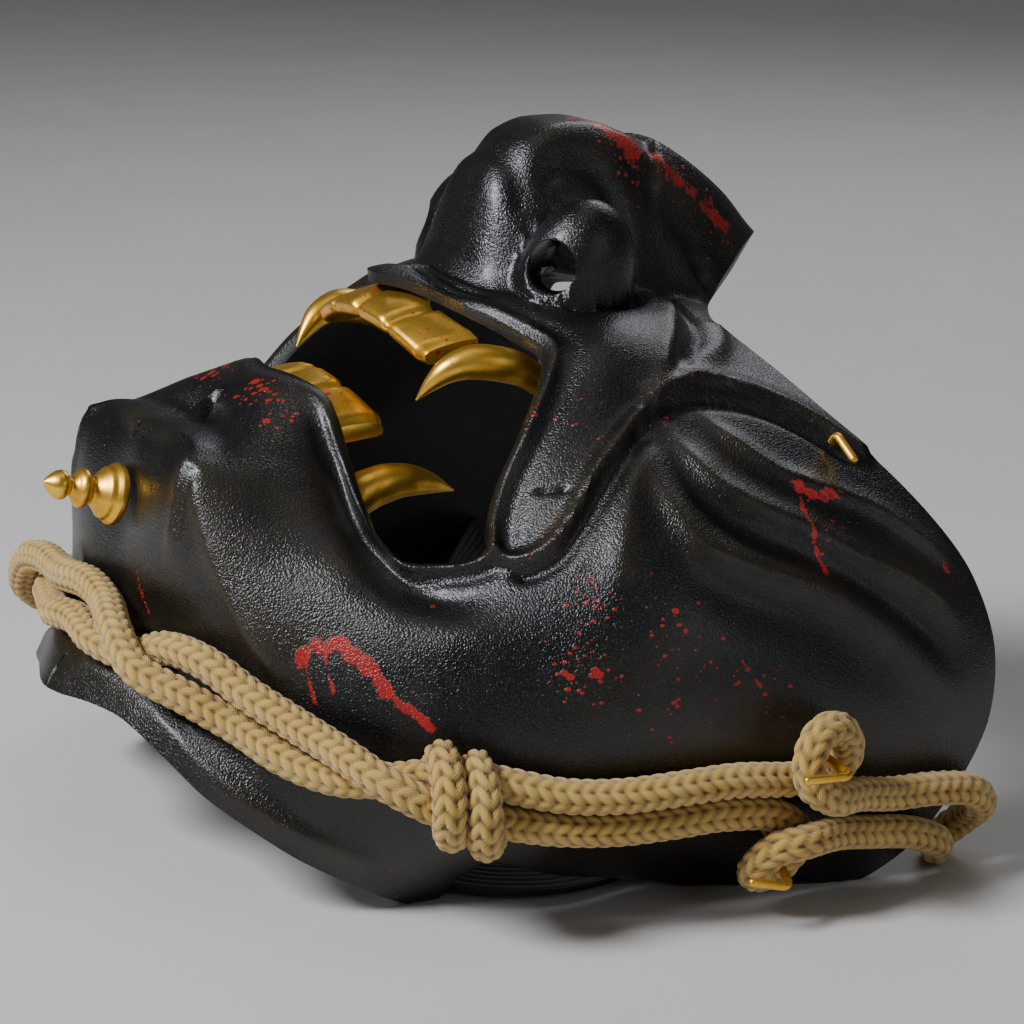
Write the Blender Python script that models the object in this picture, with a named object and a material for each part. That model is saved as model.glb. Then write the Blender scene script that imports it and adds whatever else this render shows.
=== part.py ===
"""A lacquered face guard lying face up: cast mask, gilt teeth and fangs, chin stud, cord hooks, cord and strap.

Right handed metres. +Z is the worn front and points up here, +Y is the worn top (nose bridge), -Y the chin,
+X the wearer's left. The mask is drawn as a distance from an inner centre in each direction: "across" and
"up" are degrees away from straight ahead (+Z), towards +X and towards +Y.
"""

import math

import bmesh
import bpy
import numpy as np
from mathutils import Vector

MM = 0.001
REACH = 100.0 * MM            # unit of the tables, about the centre to the upper cheek
CENTRE = (0.0, -0.12 * REACH, 0.12 * REACH)
WALL = 3.0 * MM
WALL_MOUTH = 2.2 * MM
GROOVE_WALL = 0.7             # share of the wall left under a groove
GAP = 0.3 * MM
FOOT_TRIM = 1.2 * MM          # height at which the lowest edges are cut flat, to stand on
SHELL_COLS, SHELL_ROWS = 92, 20
FORM_STIFFNESS = 30.0

NOSE_HEIGHT = 27.5 * MM
NOSE_HOLLOW = 0.72            # the hollow inside follows the nose at this share of its height
NOSE_HOLLOW_INSET = 2.4       # and starts this many degrees inside its foot
WING_AT = (12.6, 8.4)         # degrees across and up
WING_HALF = (5.4, 6.4)
WING_HEIGHT = 16.5 * MM
NOSTRIL_AT = (9.6, 5.6)
NOSTRIL_DISTANCE = 0.97       # share of REACH
NOSTRIL_AXIS = (-0.50, 0.86, 0.10)
NOSTRIL_RADIUS = 4.8 * MM
NOSTRIL_DEPTH = 22.0 * MM
RELIEF_DEPTH = 1.5 * MM
BEAD_HEIGHT = 1.1 * MM
BEAD_WIDTH, BEAD_INSET = 0.9, 1.2    # degrees

TOOTH_THICK = 4.0 * MM
TOOTH_GROOVE = 0.7 * MM
UPPER_FANG_RADIUS = 3.3 * MM
LOWER_FANG_RADIUS = 3.8 * MM
STUD_LENGTH = 14.9 * MM
STUD_RADIUS = 5.8 * MM
STUD_UP = -50.6               # degrees, on the middle of the chin
STUD_TILT = math.radians(16.4)
STUD_SEAT = 1.3 * MM          # its flat foot stands clear of the curved chin

CORD_RADIUS = 3.1 * MM
CORD_CLEAR = 1.1 * MM         # cord to the true skin, so that it clears the skin's flat facets
STRAND_HALF = 3.5 * MM        # half the distance between the two strands
HOOK_WIRE = 0.8 * MM
HOOK_REACH = 15.4 * MM
HOOK_SEAT = 0.15 * MM
HOOK_BEND = 1.6 * MM
STRAP_WIDTH = 18.0 * MM
STRAP_THICK = 1.7 * MM
STRAP_SEAT = 2.0 * MM         # middle of its flat end under the curved inner skin

# place, degrees across, degrees up, distance from the centre as a share of REACH
FORM = (
    ("bridge end", 0, 35, 0.99), ("bridge side", 13, 29, 0.97), ("cheek edge inner", 19, 24, 0.965),
    ("cheek edge", 26, 27, 0.975), ("cheek edge mid", 39.5, 32.5, 1.03), ("cheek corner", 53, 42, 1.11),
    ("cheek corner low", 58, 45, 1.115), ("rear edge", 69, 50, 1.045), ("rear low", 79, 50, 0.955),
    ("rear foot", 87, 44, 0.91), ("foot", 93, 33, 0.81), ("foot fore", 98, 20, 0.71), ("fore low", 97, 1, 0.67),
    ("strap gap", 93, -17, 0.67), ("notch", 84, -38, 0.665), ("collar end", 86, -53, 0.627),
    ("nose foot", 0, 0, 0.915), ("under nose", 0, 14, 0.94), ("lip mid", 0, -11, 0.955),
    ("lip side", 14, -4, 0.905), ("lip top", 24, -1, 0.895), ("rim side", 34, -9, 0.86),
    ("rim corner", 45, -18, 0.815), ("low rim corner", 43, -25, 0.785), ("low rim", 30, -29.6, 0.755),
    ("low rim near", 19.3, -26.8, 0.785), ("low lip side", 13.6, -24.8, 0.835), ("low lip mid", 5.5, -25.8, 0.87),
    ("low lip", 0, -27, 0.875), ("lip shoulder", 12, -31, 0.87), ("low lip front", 0, -33.5, 0.892),
    ("lip fold", 0, -37.4, 0.862), ("chin top", 0, -43, 0.958), ("chin corner", 15.7, -42.3, 0.965),
    ("chin front", 0, -50, 0.868), ("chin low", 9, -60, 0.825), ("groove mid", 0, -66, 0.80),
    ("collar mid", 0, -75, 0.87), ("jaw ridge up", 25, -48.5, 0.89), ("jaw ridge", 35, -51.6, 0.84),
    ("jaw ridge low", 45, -52, 0.815), ("roll fore", 23.6, -35.4, 0.832), ("roll", 36, -36.5, 0.826),
    ("roll mid", 47.5, -33.5, 0.823), ("roll side", 55.5, -24.7, 0.84), ("roll rear", 60, -14.6, 0.866),
    ("groove fore", 20, -64, 0.78), ("groove near", 41, -60, 0.775), ("groove side", 55, -52, 0.79),
    ("groove rear", 70, -37, 0.80), ("collar fore", 22, -72, 0.835), ("collar near", 44, -71, 0.81),
    ("collar side", 60, -67, 0.755), ("jaw side", 56, -38, 0.83), ("jaw rear", 67, -27, 0.833),
    ("body", 69, -5, 0.895), ("body up", 55, -1, 0.925), ("body rear", 70, 18, 0.94), ("body end", 68, 34, 1.0),
    ("body high", 60, 18, 0.966), ("body high rear", 60, 33, 1.02), ("hook height", 84, 24, 0.86),
    ("fold focus", 36.5, 7, 0.91), ("belt", 31, 16, 0.94), ("cheek plate", 27, 5, 0.96),
    ("body low", 84, 0, 0.82), ("body low fore", 82, -20, 0.785),
)

# degrees up, crest height over the form as a share of NOSE_HEIGHT, half width in degrees
NOSE = (
    (-4.5, 0, 8), (-2.5, 0.09, 9), (-1, 0.36, 10), (0.8, 0.60, 11), (2.8, 0.77, 12), (5.6, 0.91, 12.4),
    (8.5, 0.98, 12.6), (12, 1.0, 12.6), (16, 0.95, 12.2), (22, 0.84, 11.4), (28, 0.69, 11), (33, 0.51, 11),
    (36, 0.44, 11.5),
)

# the mouth's rim and the outer edge met by the same grid line: mouth across, mouth up, edge across, edge up
RIM = (
    (0, -11, 0, 35), (5, -8.3, 9.8, 28.7), (14, -4, 18.6, 24.2), (20, -1.7, 27, 27.5),
    (23.7, -0.8, 39.5, 32.4), (29, -4.1, 53, 42), (34.2, -9.1, 65, 49), (38.1, -13.6, 79, 50),
    (41.8, -16.8, 91, 38), (45, -18.5, 97.5, 20), (45.2, -21.5, 97, 0), (43.3, -25, 93, -18),
    (39.7, -29.4, 84, -37), (35, -30.2, 86, -53), (30, -29.6, 60, -67), (24.5, -28.4, 40, -71.5),
    (19.3, -26.8, 21, -72.5), (12.5, -24.8, 12, -74), (6, -25.8, 5, -75.2), (0, -26.8, 0, -75.5),
)

# relief line, height as a share of RELIEF_DEPTH, width on its left and its right in degrees, fade in,
# fade out, (across, up) points
RELIEF = (
    ("lip fold", -1.6, 2.4, 1.9, 0.0, 0.5, ((0, -37.6), (7, -37.9), (13, -38.8), (17, -41), (19, -45))),
    ("chin facet", 0.9, 3.0, 1.8, 0.0, 0.3, ((0, -43), (8, -42.6), (14, -42), (15.8, -44), (17.5, -49), (17.5, -55))),
    ("jaw ridge", 0.9, 5.0, 2.6, 0.1, 0.3, ((14.5, -42), (19.5, -45), (25, -48.5), (31, -50.5), (38, -52), (45, -52))),
    ("mouth roll", 1.0, 3.4, 5.0, 0.2, 0.3,
     ((17, -37), (24, -35.5), (35.5, -36.5), (47.5, -33.5), (55.5, -24.5), (60, -14.5))),
    ("rim groove", -1.1, 1.9, 2.2, 0.2, 0.3, ((16, -30), (24, -31.5), (31, -33), (42, -31.5), (48, -27), (51, -20))),
    ("fold upper", 1.1, 2.8, 2.2, 0.3, 0.3,
     ((36.5, 9), (41.5, 10), (46.5, 11), (49, 14), (52, 21), (54, 25.5), (56, 34), (59, 42))),
    ("fold lower", 1.5, 4.0, 2.8, 0.3, 0.3,
     ((37.5, 6.5), (46, 4), (51, 4.5), (53.5, 5.5), (57.5, 15.5), (59, 22.5), (60.5, 27), (63, 34.5), (68, 46))),
    ("fold fore", 1.2, 2.8, 2.8, 0.3, 0.5, ((38.5, 6), (44.5, 1), (51.5, -3), (57.5, -6.5))),
    ("cheek belt", 0.9, 2.4, 2.0, 0.3, 0.2, ((34.5, 8.5), (32.5, 12.5), (31.5, 16), (33, 23), (37, 28.5), (41.5, 32))),
    ("cheek lobe", 0.9, 2.2, 2.0, 0.2, 0.3, ((47, -18), (49.5, -14), (46.5, -8), (43.5, -4), (39.5, 1), (34, 8))),
)

# teeth: tooth edges in degrees across; root and tip in degrees up, and distance of the tip as a share of REACH
# over the wall, each at the middle and at the ends of the row; the root stands under the inner skin
UPPER_TEETH = {"edges": (-15, -7.5, 0, 7.5, 15), "root": (-7.6, -4.6), "tip": (-13.8, -12.6),
               "far_tip": (0.929, 0.899)}
LOWER_TEETH = {"edges": (-14.6, -6.8, 0, 6.8, 14.6), "root": (-28.4, -27.6), "tip": (-20.8, -18.8),
               "far_tip": (0.849, 0.789)}

# section of a tooth: share of the way from root to tip, depth as a share of TOOTH_THICK
TOOTH_SECTION = (
    (0.0, 0.0), (0.45, -0.04), (0.85, 0.0), (1.0, 0.22), (1.0, 0.65), (0.9, 0.85), (0.45, 0.97), (0.0, 1.0),
)

# fang from its hidden root to its tip: across, up, distance as a share of REACH over the wall, radius share;
# in the first row, the distance is how far the flat root's middle stays under the curved inner skin
UPPER_FANG = (
    (23.4, 6.8, 0.009, 0.62),
    (22.6, 4.1, 0.826, 0.70), (21.8, 1.0, 0.847, 0.79), (21.0, -1.6, 0.869, 0.91), (20.6, -5.1, 0.889, 1.0),
    (19.7, -8.2, 0.894, 0.94), (19.3, -11.0, 0.886, 0.73), (19.1, -13.4, 0.866, 0.42), (19.0, -15.6, 0.843, 0.07),
)
LOWER_FANG = (
    (21.2, -33.6, 0.02, 0.3), (21.0, -32.2, 0.765, 0.62),
    (20.9, -29.8, 0.724, 0.90), (20.7, -27.2, 0.724, 1.0), (20.7, -24.1, 0.717, 0.95), (20.9, -20.8, 0.704, 0.84),
    (21.3, -16.6, 0.676, 0.58), (21.9, -11.8, 0.639, 0.07),
)

# stud profile: distance along its axis and radius, as shares of STUD_LENGTH and STUD_RADIUS
STUD = (
    (0, 0.88), (0.02, 0.97), (0.07, 1.0), (0.12, 0.95), (0.16, 0.85), (0.21, 0.84), (0.31, 0.57), (0.39, 0.40),
    (0.43, 0.52), (0.49, 0.62), (0.55, 0.59), (0.60, 0.38), (0.66, 0.29), (0.71, 0.41), (0.77, 0.47),
    (0.83, 0.44), (0.90, 0.30), (0.96, 0.15), (1.0, 0.05),
)

# middle line of the two strands from the chin to the hooks: across, up, half turns of the twist on the
# wearer's left side and on the right
STRANDS = (
    (0, -64.0, 0.0, 0.0), (10, -64.4, 0.05, 0.0), (18, -63.0, 0.35, 0.0), (25, -60.8, 0.65, 0.05),
    (32, -59.2, 0.9, 0.2), (39, -57.4, 1.0, 0.45), (47, -54.8, 1.0, 0.75), (53, -51.5, 1.05, 0.95),
    (58, -47.4, 1.2, 1.1), (62.5, -42.4, 1.4, 1.35), (66.5, -37.4, 1.65, 1.6), (71, -31.4, 1.9, 1.9),
    (75.5, -24.5, 2.0, 2.0), (78.4, -16.5, 2.0, 2.0), (80.0, -8.0, 2.0, 2.0), (80.2, 1.0, 2.0, 2.0),
    (80.0, 7.0, 2.0, 2.0),
)
# each strand's loop round its hook: across and up of the hook, side of the strand it lies on
LOOP_UPPER = (74.6, 20.5, -1.0)
LOOP_LOWER = (85.0, 19.5, 1.0)
LOOP_RADIUS = (2.8, 4.3)      # degrees across and up
LOOP_RISE = 1.08              # lift of the second pass over the first, in cord diameters
LOOP_POINTS = 9
# hooks on one side: name, foot in degrees (across, up), arm direction in degrees (across, up), reach share
HOOKS = (
    ("upper", LOOP_UPPER[:2], (1.0, -7.5), 1.0),
    ("lower", LOOP_LOWER[:2], (0.0, -8.0), 1.0),
    ("edge", (40.0, 28.5), (3.6, 0.6), 0.16),
)
# from its loop to the rear edge and round it, where the two strands join: across, up, lift in cord diameters
UPPER_END = ((77.2, 28.5, 0.45), (76.4, 35.0, 0.08), (73.4, 42.5, 0.05), (71.0, 48.5, 0.05), (70.6, 53.5, -0.2))
LOWER_END = ((81.6, 28.0, 0.45), (80.8, 35.0, 0.08), (78.6, 42.5, 0.05), (77.0, 49.0, 0.05), (77.0, 54.0, -0.5))
TURN = ((72.0, 57.0, -0.9), (75.4, 57.6, -1.3))
CORD_TWIST_POINTS = 15

# strap ends on the inner skin: across, up, bank in degrees
STRAP_END = (72.0, 44.0, 114)
# strap from the wearer's left cheek to the right: x, y, z as shares of REACH, bank in degrees
STRAP = (
    (0.655, 0.20, 0.18, 88), (0.545, 0.04, 0.11, 48), (0.54, -0.11, 0.050, 14),
    (0.55, -0.235, 0.042, 8), (0.50, -0.32, 0.040, 6), (0.40, -0.365, 0.038, 4), (0.27, -0.37, 0.036, 2),
    (0.12, -0.345, 0.035, 0), (-0.14, -0.27, 0.035, 0),
    (-0.40, -0.12, 0.05, -16), (-0.545, 0.04, 0.11, -48), (-0.655, 0.20, 0.18, -88),
)

MATERIALS = {
    "lacquer": ((0.012, 0.011, 0.012, 1.0), 0.34, 0.0),
    "gilt": ((0.62, 0.36, 0.06, 1.0), 0.30, 1.0),
    "cord": ((0.53, 0.38, 0.17, 1.0), 0.85, 0.0),
    "elastic": ((0.010, 0.010, 0.012, 1.0), 0.80, 0.0),
}


def material(slot):
    if slot in bpy.data.materials:
        return bpy.data.materials[slot]
    mat = bpy.data.materials.new(slot)
    mat.use_nodes = True
    shader = mat.node_tree.nodes["Principled BSDF"]
    colour, roughness, metallic = MATERIALS[slot]
    shader.inputs["Base Color"].default_value = colour
    shader.inputs["Roughness"].default_value = roughness
    shader.inputs["Metallic"].default_value = metallic
    return mat


def spline(points, samples):
    """Even samples along a centripetal-like cubic through the points (columns are carried along)."""
    pts = np.array(points, float)
    step = np.linalg.norm(np.diff(pts[:, :3], axis=0), axis=1)
    s = np.concatenate([[0.0], np.cumsum(step)])
    slope = np.gradient(pts, s, axis=0)
    u = np.linspace(0.0, s[-1], samples)
    i = np.clip(np.searchsorted(s, u, side="right") - 1, 0, len(s) - 2)
    h = (s[i + 1] - s[i])[:, None]
    t = ((u - s[i]) / h[:, 0])[:, None]
    return (
        (1 + 2 * t) * (1 - t) ** 2 * pts[i] + t * (1 - t) ** 2 * h * slope[i]
        + t * t * (3 - 2 * t) * pts[i + 1] + t * t * (t - 1) * h * slope[i + 1]
    )


def bend_energy(squared):
    return 0.5 * squared * np.log(np.maximum(squared, 1e-12))


def fit_form():
    """Weights of the smooth thin plate through the form table and its mirror image."""
    rows = [(r[1], r[2], r[3]) for r in FORM] + [(-r[1], r[2], r[3]) for r in FORM if r[1] > 0]
    table = np.array(rows, float)
    count = len(table)
    squared = (table[:, None, 0] - table[None, :, 0]) ** 2 + (table[:, None, 1] - table[None, :, 1]) ** 2
    system = np.zeros((count + 3, count + 3))
    system[:count, :count] = bend_energy(squared) + FORM_STIFFNESS * np.eye(count)
    system[:count, count] = 1.0
    system[:count, count + 1:] = table[:, :2]
    system[count:, :count] = system[:count, count:].T
    weights = np.linalg.solve(system, np.concatenate([table[:, 2], np.zeros(3)]))
    return table, weights


FORM_TABLE, FORM_WEIGHTS = fit_form()


def form(across, up):
    """Distance of the plain face from the centre."""
    across = np.asarray(across, float)
    up = np.asarray(up, float)
    out = FORM_WEIGHTS[-3] + FORM_WEIGHTS[-2] * across + FORM_WEIGHTS[-1] * up
    for row, weight in zip(FORM_TABLE, FORM_WEIGHTS):
        out = out + weight * bend_energy((across - row[0]) ** 2 + (up - row[1]) ** 2)
    return out * REACH


def smoothstep(low, high, x):
    t = np.clip((x - low) / (high - low), 0.0, 1.0)
    return t * t * (3 - 2 * t)


def table_curve(rows, column, x):
    """Monotone cubic through one column of a table against its first column."""
    xs = np.array([r[0] for r in rows], float)
    ys = np.array([r[column] for r in rows], float)
    h = np.diff(xs)
    d = np.diff(ys) / h
    m = np.zeros(len(xs))
    both = d[:-1] + d[1:]
    m[1:-1] = np.where(d[:-1] * d[1:] > 0, 2 * d[:-1] * d[1:] / np.where(np.abs(both) > 1e-9, both, 1.0), 0.0)
    x = np.clip(x, xs[0], xs[-1])
    i = np.clip(np.searchsorted(xs, x, side="right") - 1, 0, len(xs) - 2)
    t = (x - xs[i]) / h[i]
    return (
        (1 + 2 * t) * (1 - t) ** 2 * ys[i] + t * (1 - t) ** 2 * h[i] * m[i]
        + t * t * (3 - 2 * t) * ys[i + 1] + t * t * (t - 1) * h[i] * m[i + 1]
    )


def nose(across, up, shrink=0.0, share=1.0):
    """Height of the nose over the plain face: a ridge with a steep foot, and a round wing each side."""
    height = table_curve(NOSE, 1, up) * NOSE_HEIGHT
    width = table_curve(NOSE, 2, up) - shrink
    ridge = height * (1 - smoothstep(0.2, 1.12, np.abs(across) / width))
    wing_far = np.hypot(
        (np.abs(across) - WING_AT[0]) / (WING_HALF[0] - shrink), (up - WING_AT[1]) / (WING_HALF[1] - shrink)
    )
    wing = WING_HEIGHT * (1 - smoothstep(0.15, 1.1, wing_far))
    return share * np.maximum(ridge, wing)


def line_relief(across, up, row):
    """Height of one relief line: a ridge with its own width on each side, faded at both ends."""
    _, height, left, right, fade_in, fade_out, points = row
    path = spline([(a, b, 0.0) for a, b in points], 40)[:, :2]
    best = np.full(np.shape(across), 1e9)
    side = np.zeros(np.shape(across))
    along = np.zeros(np.shape(across))
    ax = np.abs(across)
    for k in range(len(path) - 1):
        seg = path[k + 1] - path[k]
        t = np.clip(((ax - path[k, 0]) * seg[0] + (up - path[k, 1]) * seg[1]) / (seg @ seg), 0.0, 1.0)
        dx = ax - path[k, 0] - t * seg[0]
        dy = up - path[k, 1] - t * seg[1]
        far = dx * dx + dy * dy
        near = far < best
        best = np.where(near, far, best)
        side = np.where(near, seg[0] * dy - seg[1] * dx, side)
        along = np.where(near, (k + t) / (len(path) - 1), along)
    width = np.where(side > 0, left, right)
    fade = smoothstep(0.0, fade_in + 1e-6, along) * smoothstep(0.0, fade_out + 1e-6, 1 - along)
    return height * RELIEF_DEPTH * np.exp(-best / (width * width)) * fade


def outer(across, up):
    """Distance of the finished outer skin from the centre."""
    out = form(across, up) + nose(across, up)
    for row in RELIEF:
        out = out + line_relief(across, up, row)
    return out


def inner(across, up, wall):
    """Distance of the plain inner skin from the centre."""
    return form(across, up) - wall + nose(across, up, NOSE_HOLLOW_INSET, NOSE_HOLLOW)


def under_skin(across, up, wall, top):
    """Distance of the true inner skin: sunk where the outer skin has a groove, so that a wall stays."""
    return np.minimum(inner(across, up, wall), top - GROOVE_WALL * wall)


def direction(across, up):
    away = np.radians(np.hypot(across, up))
    turn = np.arctan2(up, across)
    return np.stack([np.sin(away) * np.cos(turn), np.sin(away) * np.sin(turn), np.cos(away)], -1)


def place(across, up, distance):
    return np.array(CENTRE) + direction(across, up) * np.asarray(distance)[..., None]


def skin_point(across, up, lift):
    """A place held a little off the plain skin along its normal."""
    step = 0.5
    here = place(across, up, form(across, up) + nose(across, up))
    east = place(across + step, up, form(across + step, up) + nose(across + step, up)) - here
    north = place(across, up + step, form(across, up + step) + nose(across, up + step)) - here
    normal = np.cross(east, north)
    normal /= np.linalg.norm(normal, axis=-1, keepdims=True)
    return here + normal * np.asarray(lift)[..., None], normal


def rim_lines(cols):
    """Mouth rim and outer edge points met by each grid line, all round."""
    near = np.array(RIM, float)
    far = near[-2:0:-1] * np.array([-1.0, 1.0, -1.0, 1.0])
    loop = np.vstack([near, far, near[:1]])
    legs = np.hypot(*np.diff(loop[:, :2], axis=0).T) + 0.7 * np.hypot(*np.diff(loop[:, 2:], axis=0).T)
    s = np.concatenate([[0.0], np.cumsum(legs)])
    s_ext = np.concatenate([s[-3:-1] - s[-1], s, s[1:3] + s[-1]])
    u = np.linspace(0.0, s[-1], cols, endpoint=False)
    i = np.clip(np.searchsorted(s_ext, u, side="right") - 1, 0, len(s_ext) - 2)
    h = s_ext[i + 1] - s_ext[i]
    t = (u - s_ext[i]) / h
    out = []
    for k, ease in enumerate((1.0, 1.0, 0.6, 0.6)):
        ext = np.concatenate([loop[-3:-1, k], loop[:, k], loop[1:3, k]])
        m = np.gradient(ext, s_ext) * ease
        out.append(
            (1 + 2 * t) * (1 - t) ** 2 * ext[i] + t * (1 - t) ** 2 * h * m[i]
            + t * t * (3 - 2 * t) * ext[i + 1] + t * t * (t - 1) * h * m[i + 1]
        )
    return np.stack(out, 1)


def add_mesh(name, verts, faces, slot, smooth_angle=None):
    mesh = bpy.data.meshes.new(name)
    mesh.from_pydata([tuple(v) for v in verts], [], faces)
    mesh.validate()
    bm = bmesh.new()
    bm.from_mesh(mesh)
    bmesh.ops.recalc_face_normals(bm, faces=bm.faces)
    bm.to_mesh(mesh)
    bm.free()
    if smooth_angle is not None:
        mesh.shade_smooth()
        mesh.set_sharp_from_angle(angle=math.radians(smooth_angle))
    obj = bpy.data.objects.new(name, mesh)
    bpy.context.scene.collection.objects.link(obj)
    mesh.materials.append(material(slot))
    return obj


def add_tube(name, rings, slot, smooth_angle=40):
    """Closed solid through a list of rings of equal size, flat capped at both ends."""
    sides = len(rings[0])
    verts = [v for ring in rings for v in ring]
    faces = []
    for r in range(len(rings) - 1):
        for k in range(sides):
            a, b = r * sides + k, r * sides + (k + 1) % sides
            faces.append((a, b, b + sides, a + sides))
    faces.append(tuple(range(sides))[::-1])
    faces.append(tuple(range((len(rings) - 1) * sides, len(rings) * sides)))
    return add_mesh(name, verts, faces, slot, smooth_angle)


def mask_shell():
    lines = rim_lines(SHELL_COLS)
    t = (np.linspace(0.0, 1.0, SHELL_ROWS) ** 1.15)[:, None]
    across = lines[None, :, 0] * (1 - t) + lines[None, :, 2] * t
    up = lines[None, :, 1] * (1 - t) + lines[None, :, 3] * t
    from_rim = np.hypot(across - lines[None, :, 0], up - lines[None, :, 1])
    bead = BEAD_HEIGHT * np.exp(-((from_rim - BEAD_INSET) / BEAD_WIDTH) ** 2)
    wall = WALL_MOUTH + (WALL - WALL_MOUTH) * smoothstep(0.0, 6.0, from_rim)
    top = outer(across, up) + bead
    low = under_skin(across, up, wall, top)
    skins = [place(across, up, top), place(across, up, low)]
    for skin in skins:
        skin[..., 2] = np.maximum(skin[..., 2], FOOT_TRIM)
    verts = np.concatenate([s.reshape(-1, 3) for s in skins])
    rows, cols = across.shape
    count = rows * cols
    faces = []
    for i in range(rows - 1):
        for j in range(cols):
            a, b = i * cols + j, i * cols + (j + 1) % cols
            faces.append((a, b, b + cols, a + cols))
            faces.append((a + count, a + cols + count, b + cols + count, b + count))
    for i, flip in ((0, True), (rows - 1, False)):
        for j in range(cols):
            a, b = i * cols + j, i * cols + (j + 1) % cols
            quad = (a, b, b + count, a + count)
            faces.append(quad[::-1] if flip else quad)
    obj = add_mesh("mask_shell", verts, faces, "lacquer", 50)
    for side in (1, -1):
        cutter = nostril_cutter(side)
        cut = obj.modifiers.new("nostril", "BOOLEAN")
        cut.object = cutter
        cut.operation = "DIFFERENCE"
        cut.solver = "EXACT"
    return obj


def nostril_cutter(side):
    axis = Vector((NOSTRIL_AXIS[0] * side, NOSTRIL_AXIS[1], NOSTRIL_AXIS[2])).normalized()
    across = axis.cross(Vector((0, 0, 1))).normalized()
    lift = across.cross(axis)
    at = Vector(place(NOSTRIL_AT[0] * side, NOSTRIL_AT[1], NOSTRIL_DISTANCE * REACH))
    rings = []
    for along in (-0.5 * NOSTRIL_DEPTH, 0.5 * NOSTRIL_DEPTH):
        ring = []
        for k in range(14):
            turn = 2 * math.pi * k / 14
            sit = across * math.cos(turn) * NOSTRIL_RADIUS * 1.1 + lift * math.sin(turn) * NOSTRIL_RADIUS
            ring.append(at + axis * along + sit)
        rings.append(ring)
    name = "cut_nostril_left" if side > 0 else "cut_nostril_right"
    obj = add_tube(name, rings, "lacquer", None)
    obj.hide_render = True
    obj.display_type = "WIRE"
    return obj


def teeth(name, row):
    """A bowed strip of teeth: a rounded bar section carried across, pinched between the teeth."""
    edges = row["edges"]
    stations = []
    for a, b in zip(edges[:-1], edges[1:]):
        stations += [(a, 1.0), (a + 0.35, 0.15), (0.5 * (a + b), 0.0), (b - 0.35, 0.15)]
    stations.append((edges[-1], 1.0))
    half = abs(edges[0])
    rings = []
    for across, pinch in stations:
        side = (across / half) ** 2
        mid = {key: row[key][0] + (row[key][1] - row[key][0]) * side for key in row if key != "edges"}
        cut = TOOTH_GROOVE * pinch * (1.0 if abs(across) < half else 0.4)
        ring = []
        for v, deep in TOOTH_SECTION:
            up = mid["root"] + (mid["tip"] - mid["root"]) * v * (1 - 0.04 * pinch)
            far_root = inner(across, mid["root"], WALL) - GAP
            distance = far_root + (mid["far_tip"] * REACH - WALL - GAP - far_root) * v
            sunk = cut if deep < 0.3 else 0.0
            ring.append(place(across, up, distance - deep * TOOTH_THICK - sunk))
        rings.append(ring)
    return add_tube(name, rings, "gilt", 35)


def sweep_rings(path, radii, sides, mirror=1.0):
    """Round rings square to a path, with a steady frame."""
    tangents = np.gradient(path, axis=0)
    tangents /= np.linalg.norm(tangents, axis=1)[:, None]
    guide = np.array([1.0, 0.0, 0.3])
    rings = []
    for at, along, radius in zip(path, tangents, radii):
        u = np.cross(along, guide)
        u /= np.linalg.norm(u)
        v = np.cross(along, u)
        ring = []
        for k in range(sides):
            turn = 2 * math.pi * k / sides
            p = at + radius * (u * math.cos(turn) + v * math.sin(turn))
            ring.append((p[0] * mirror, p[1], p[2]))
        rings.append(ring)
    return rings


def fang(name, rows, radius, mirror):
    table = np.array(rows, float)
    distance = table[:, 2] * REACH - WALL - GAP
    root_across, root_up = table[0, :2]
    distance[0] = under_skin(root_across, root_up, WALL, outer(root_across, root_up)) - GAP - table[0, 2] * REACH
    at = place(table[:, 0], table[:, 1], distance)
    path = spline(np.column_stack([at, table[:, 3] * radius]), 12)
    rings = sweep_rings(path[:, :3], path[:, 3], 12, mirror)
    return add_tube(name, rings, "gilt", 40)


def stud():
    axis = Vector((0, -math.cos(STUD_TILT), math.sin(STUD_TILT)))
    side = Vector((1, 0, 0))
    lift = side.cross(axis)
    foot, _ = skin_point(np.array(0.0), np.array(STUD_UP), np.array(0.0))
    rings = []
    for along, radius in STUD:
        ring = []
        for k in range(16):
            turn = 2 * math.pi * k / 16
            sit = (side * math.cos(turn) + lift * math.sin(turn)) * radius * STUD_RADIUS
            ring.append(Vector(foot) + axis * (along * STUD_LENGTH + STUD_SEAT) + sit)
        rings.append(ring)
    return add_tube("chin_stud", rings, "gilt", 40)


def add_wire(name, points, radius, slot, resolution, cyclic=False):
    curve = bpy.data.curves.new(name, "CURVE")
    curve.dimensions = "3D"
    curve.bevel_depth = radius
    curve.bevel_resolution = resolution
    curve.use_fill_caps = True
    line = curve.splines.new("POLY")
    line.points.add(len(points) - 1)
    for point, at in zip(line.points, points):
        point.co = (at[0], at[1], at[2], 1.0)
    line.use_cyclic_u = cyclic
    obj = bpy.data.objects.new(name, curve)
    bpy.context.scene.collection.objects.link(obj)
    curve.materials.append(material(slot))
    return obj


def hook(name, foot, arm, reach, mirror):
    """A bent wire: a stem standing on the skin and an arm along it."""
    rise = outer(foot[0], foot[1]) - form(foot[0], foot[1])
    at, normal = skin_point(np.array(foot[0]), np.array(foot[1]), rise)
    end, _ = skin_point(np.array(foot[0] + arm[0]), np.array(foot[1] + arm[1]), np.array(0.0))
    stem = at + normal * (HOOK_REACH * reach)
    along = end - at
    span = np.linalg.norm(along)
    along = along - normal * (along @ normal)
    along /= np.linalg.norm(along)
    turn = min(HOOK_BEND, 0.4 * HOOK_REACH * reach)
    route = [
        at + normal * (GAP + HOOK_SEAT), stem - normal * turn, stem - normal * turn * 0.3 + along * turn * 0.3,
        stem + along * turn, stem + along * span,
    ]
    return add_wire(name, [(p[0] * mirror, p[1], p[2]) for p in route], HOOK_WIRE, "gilt", 2)


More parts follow.
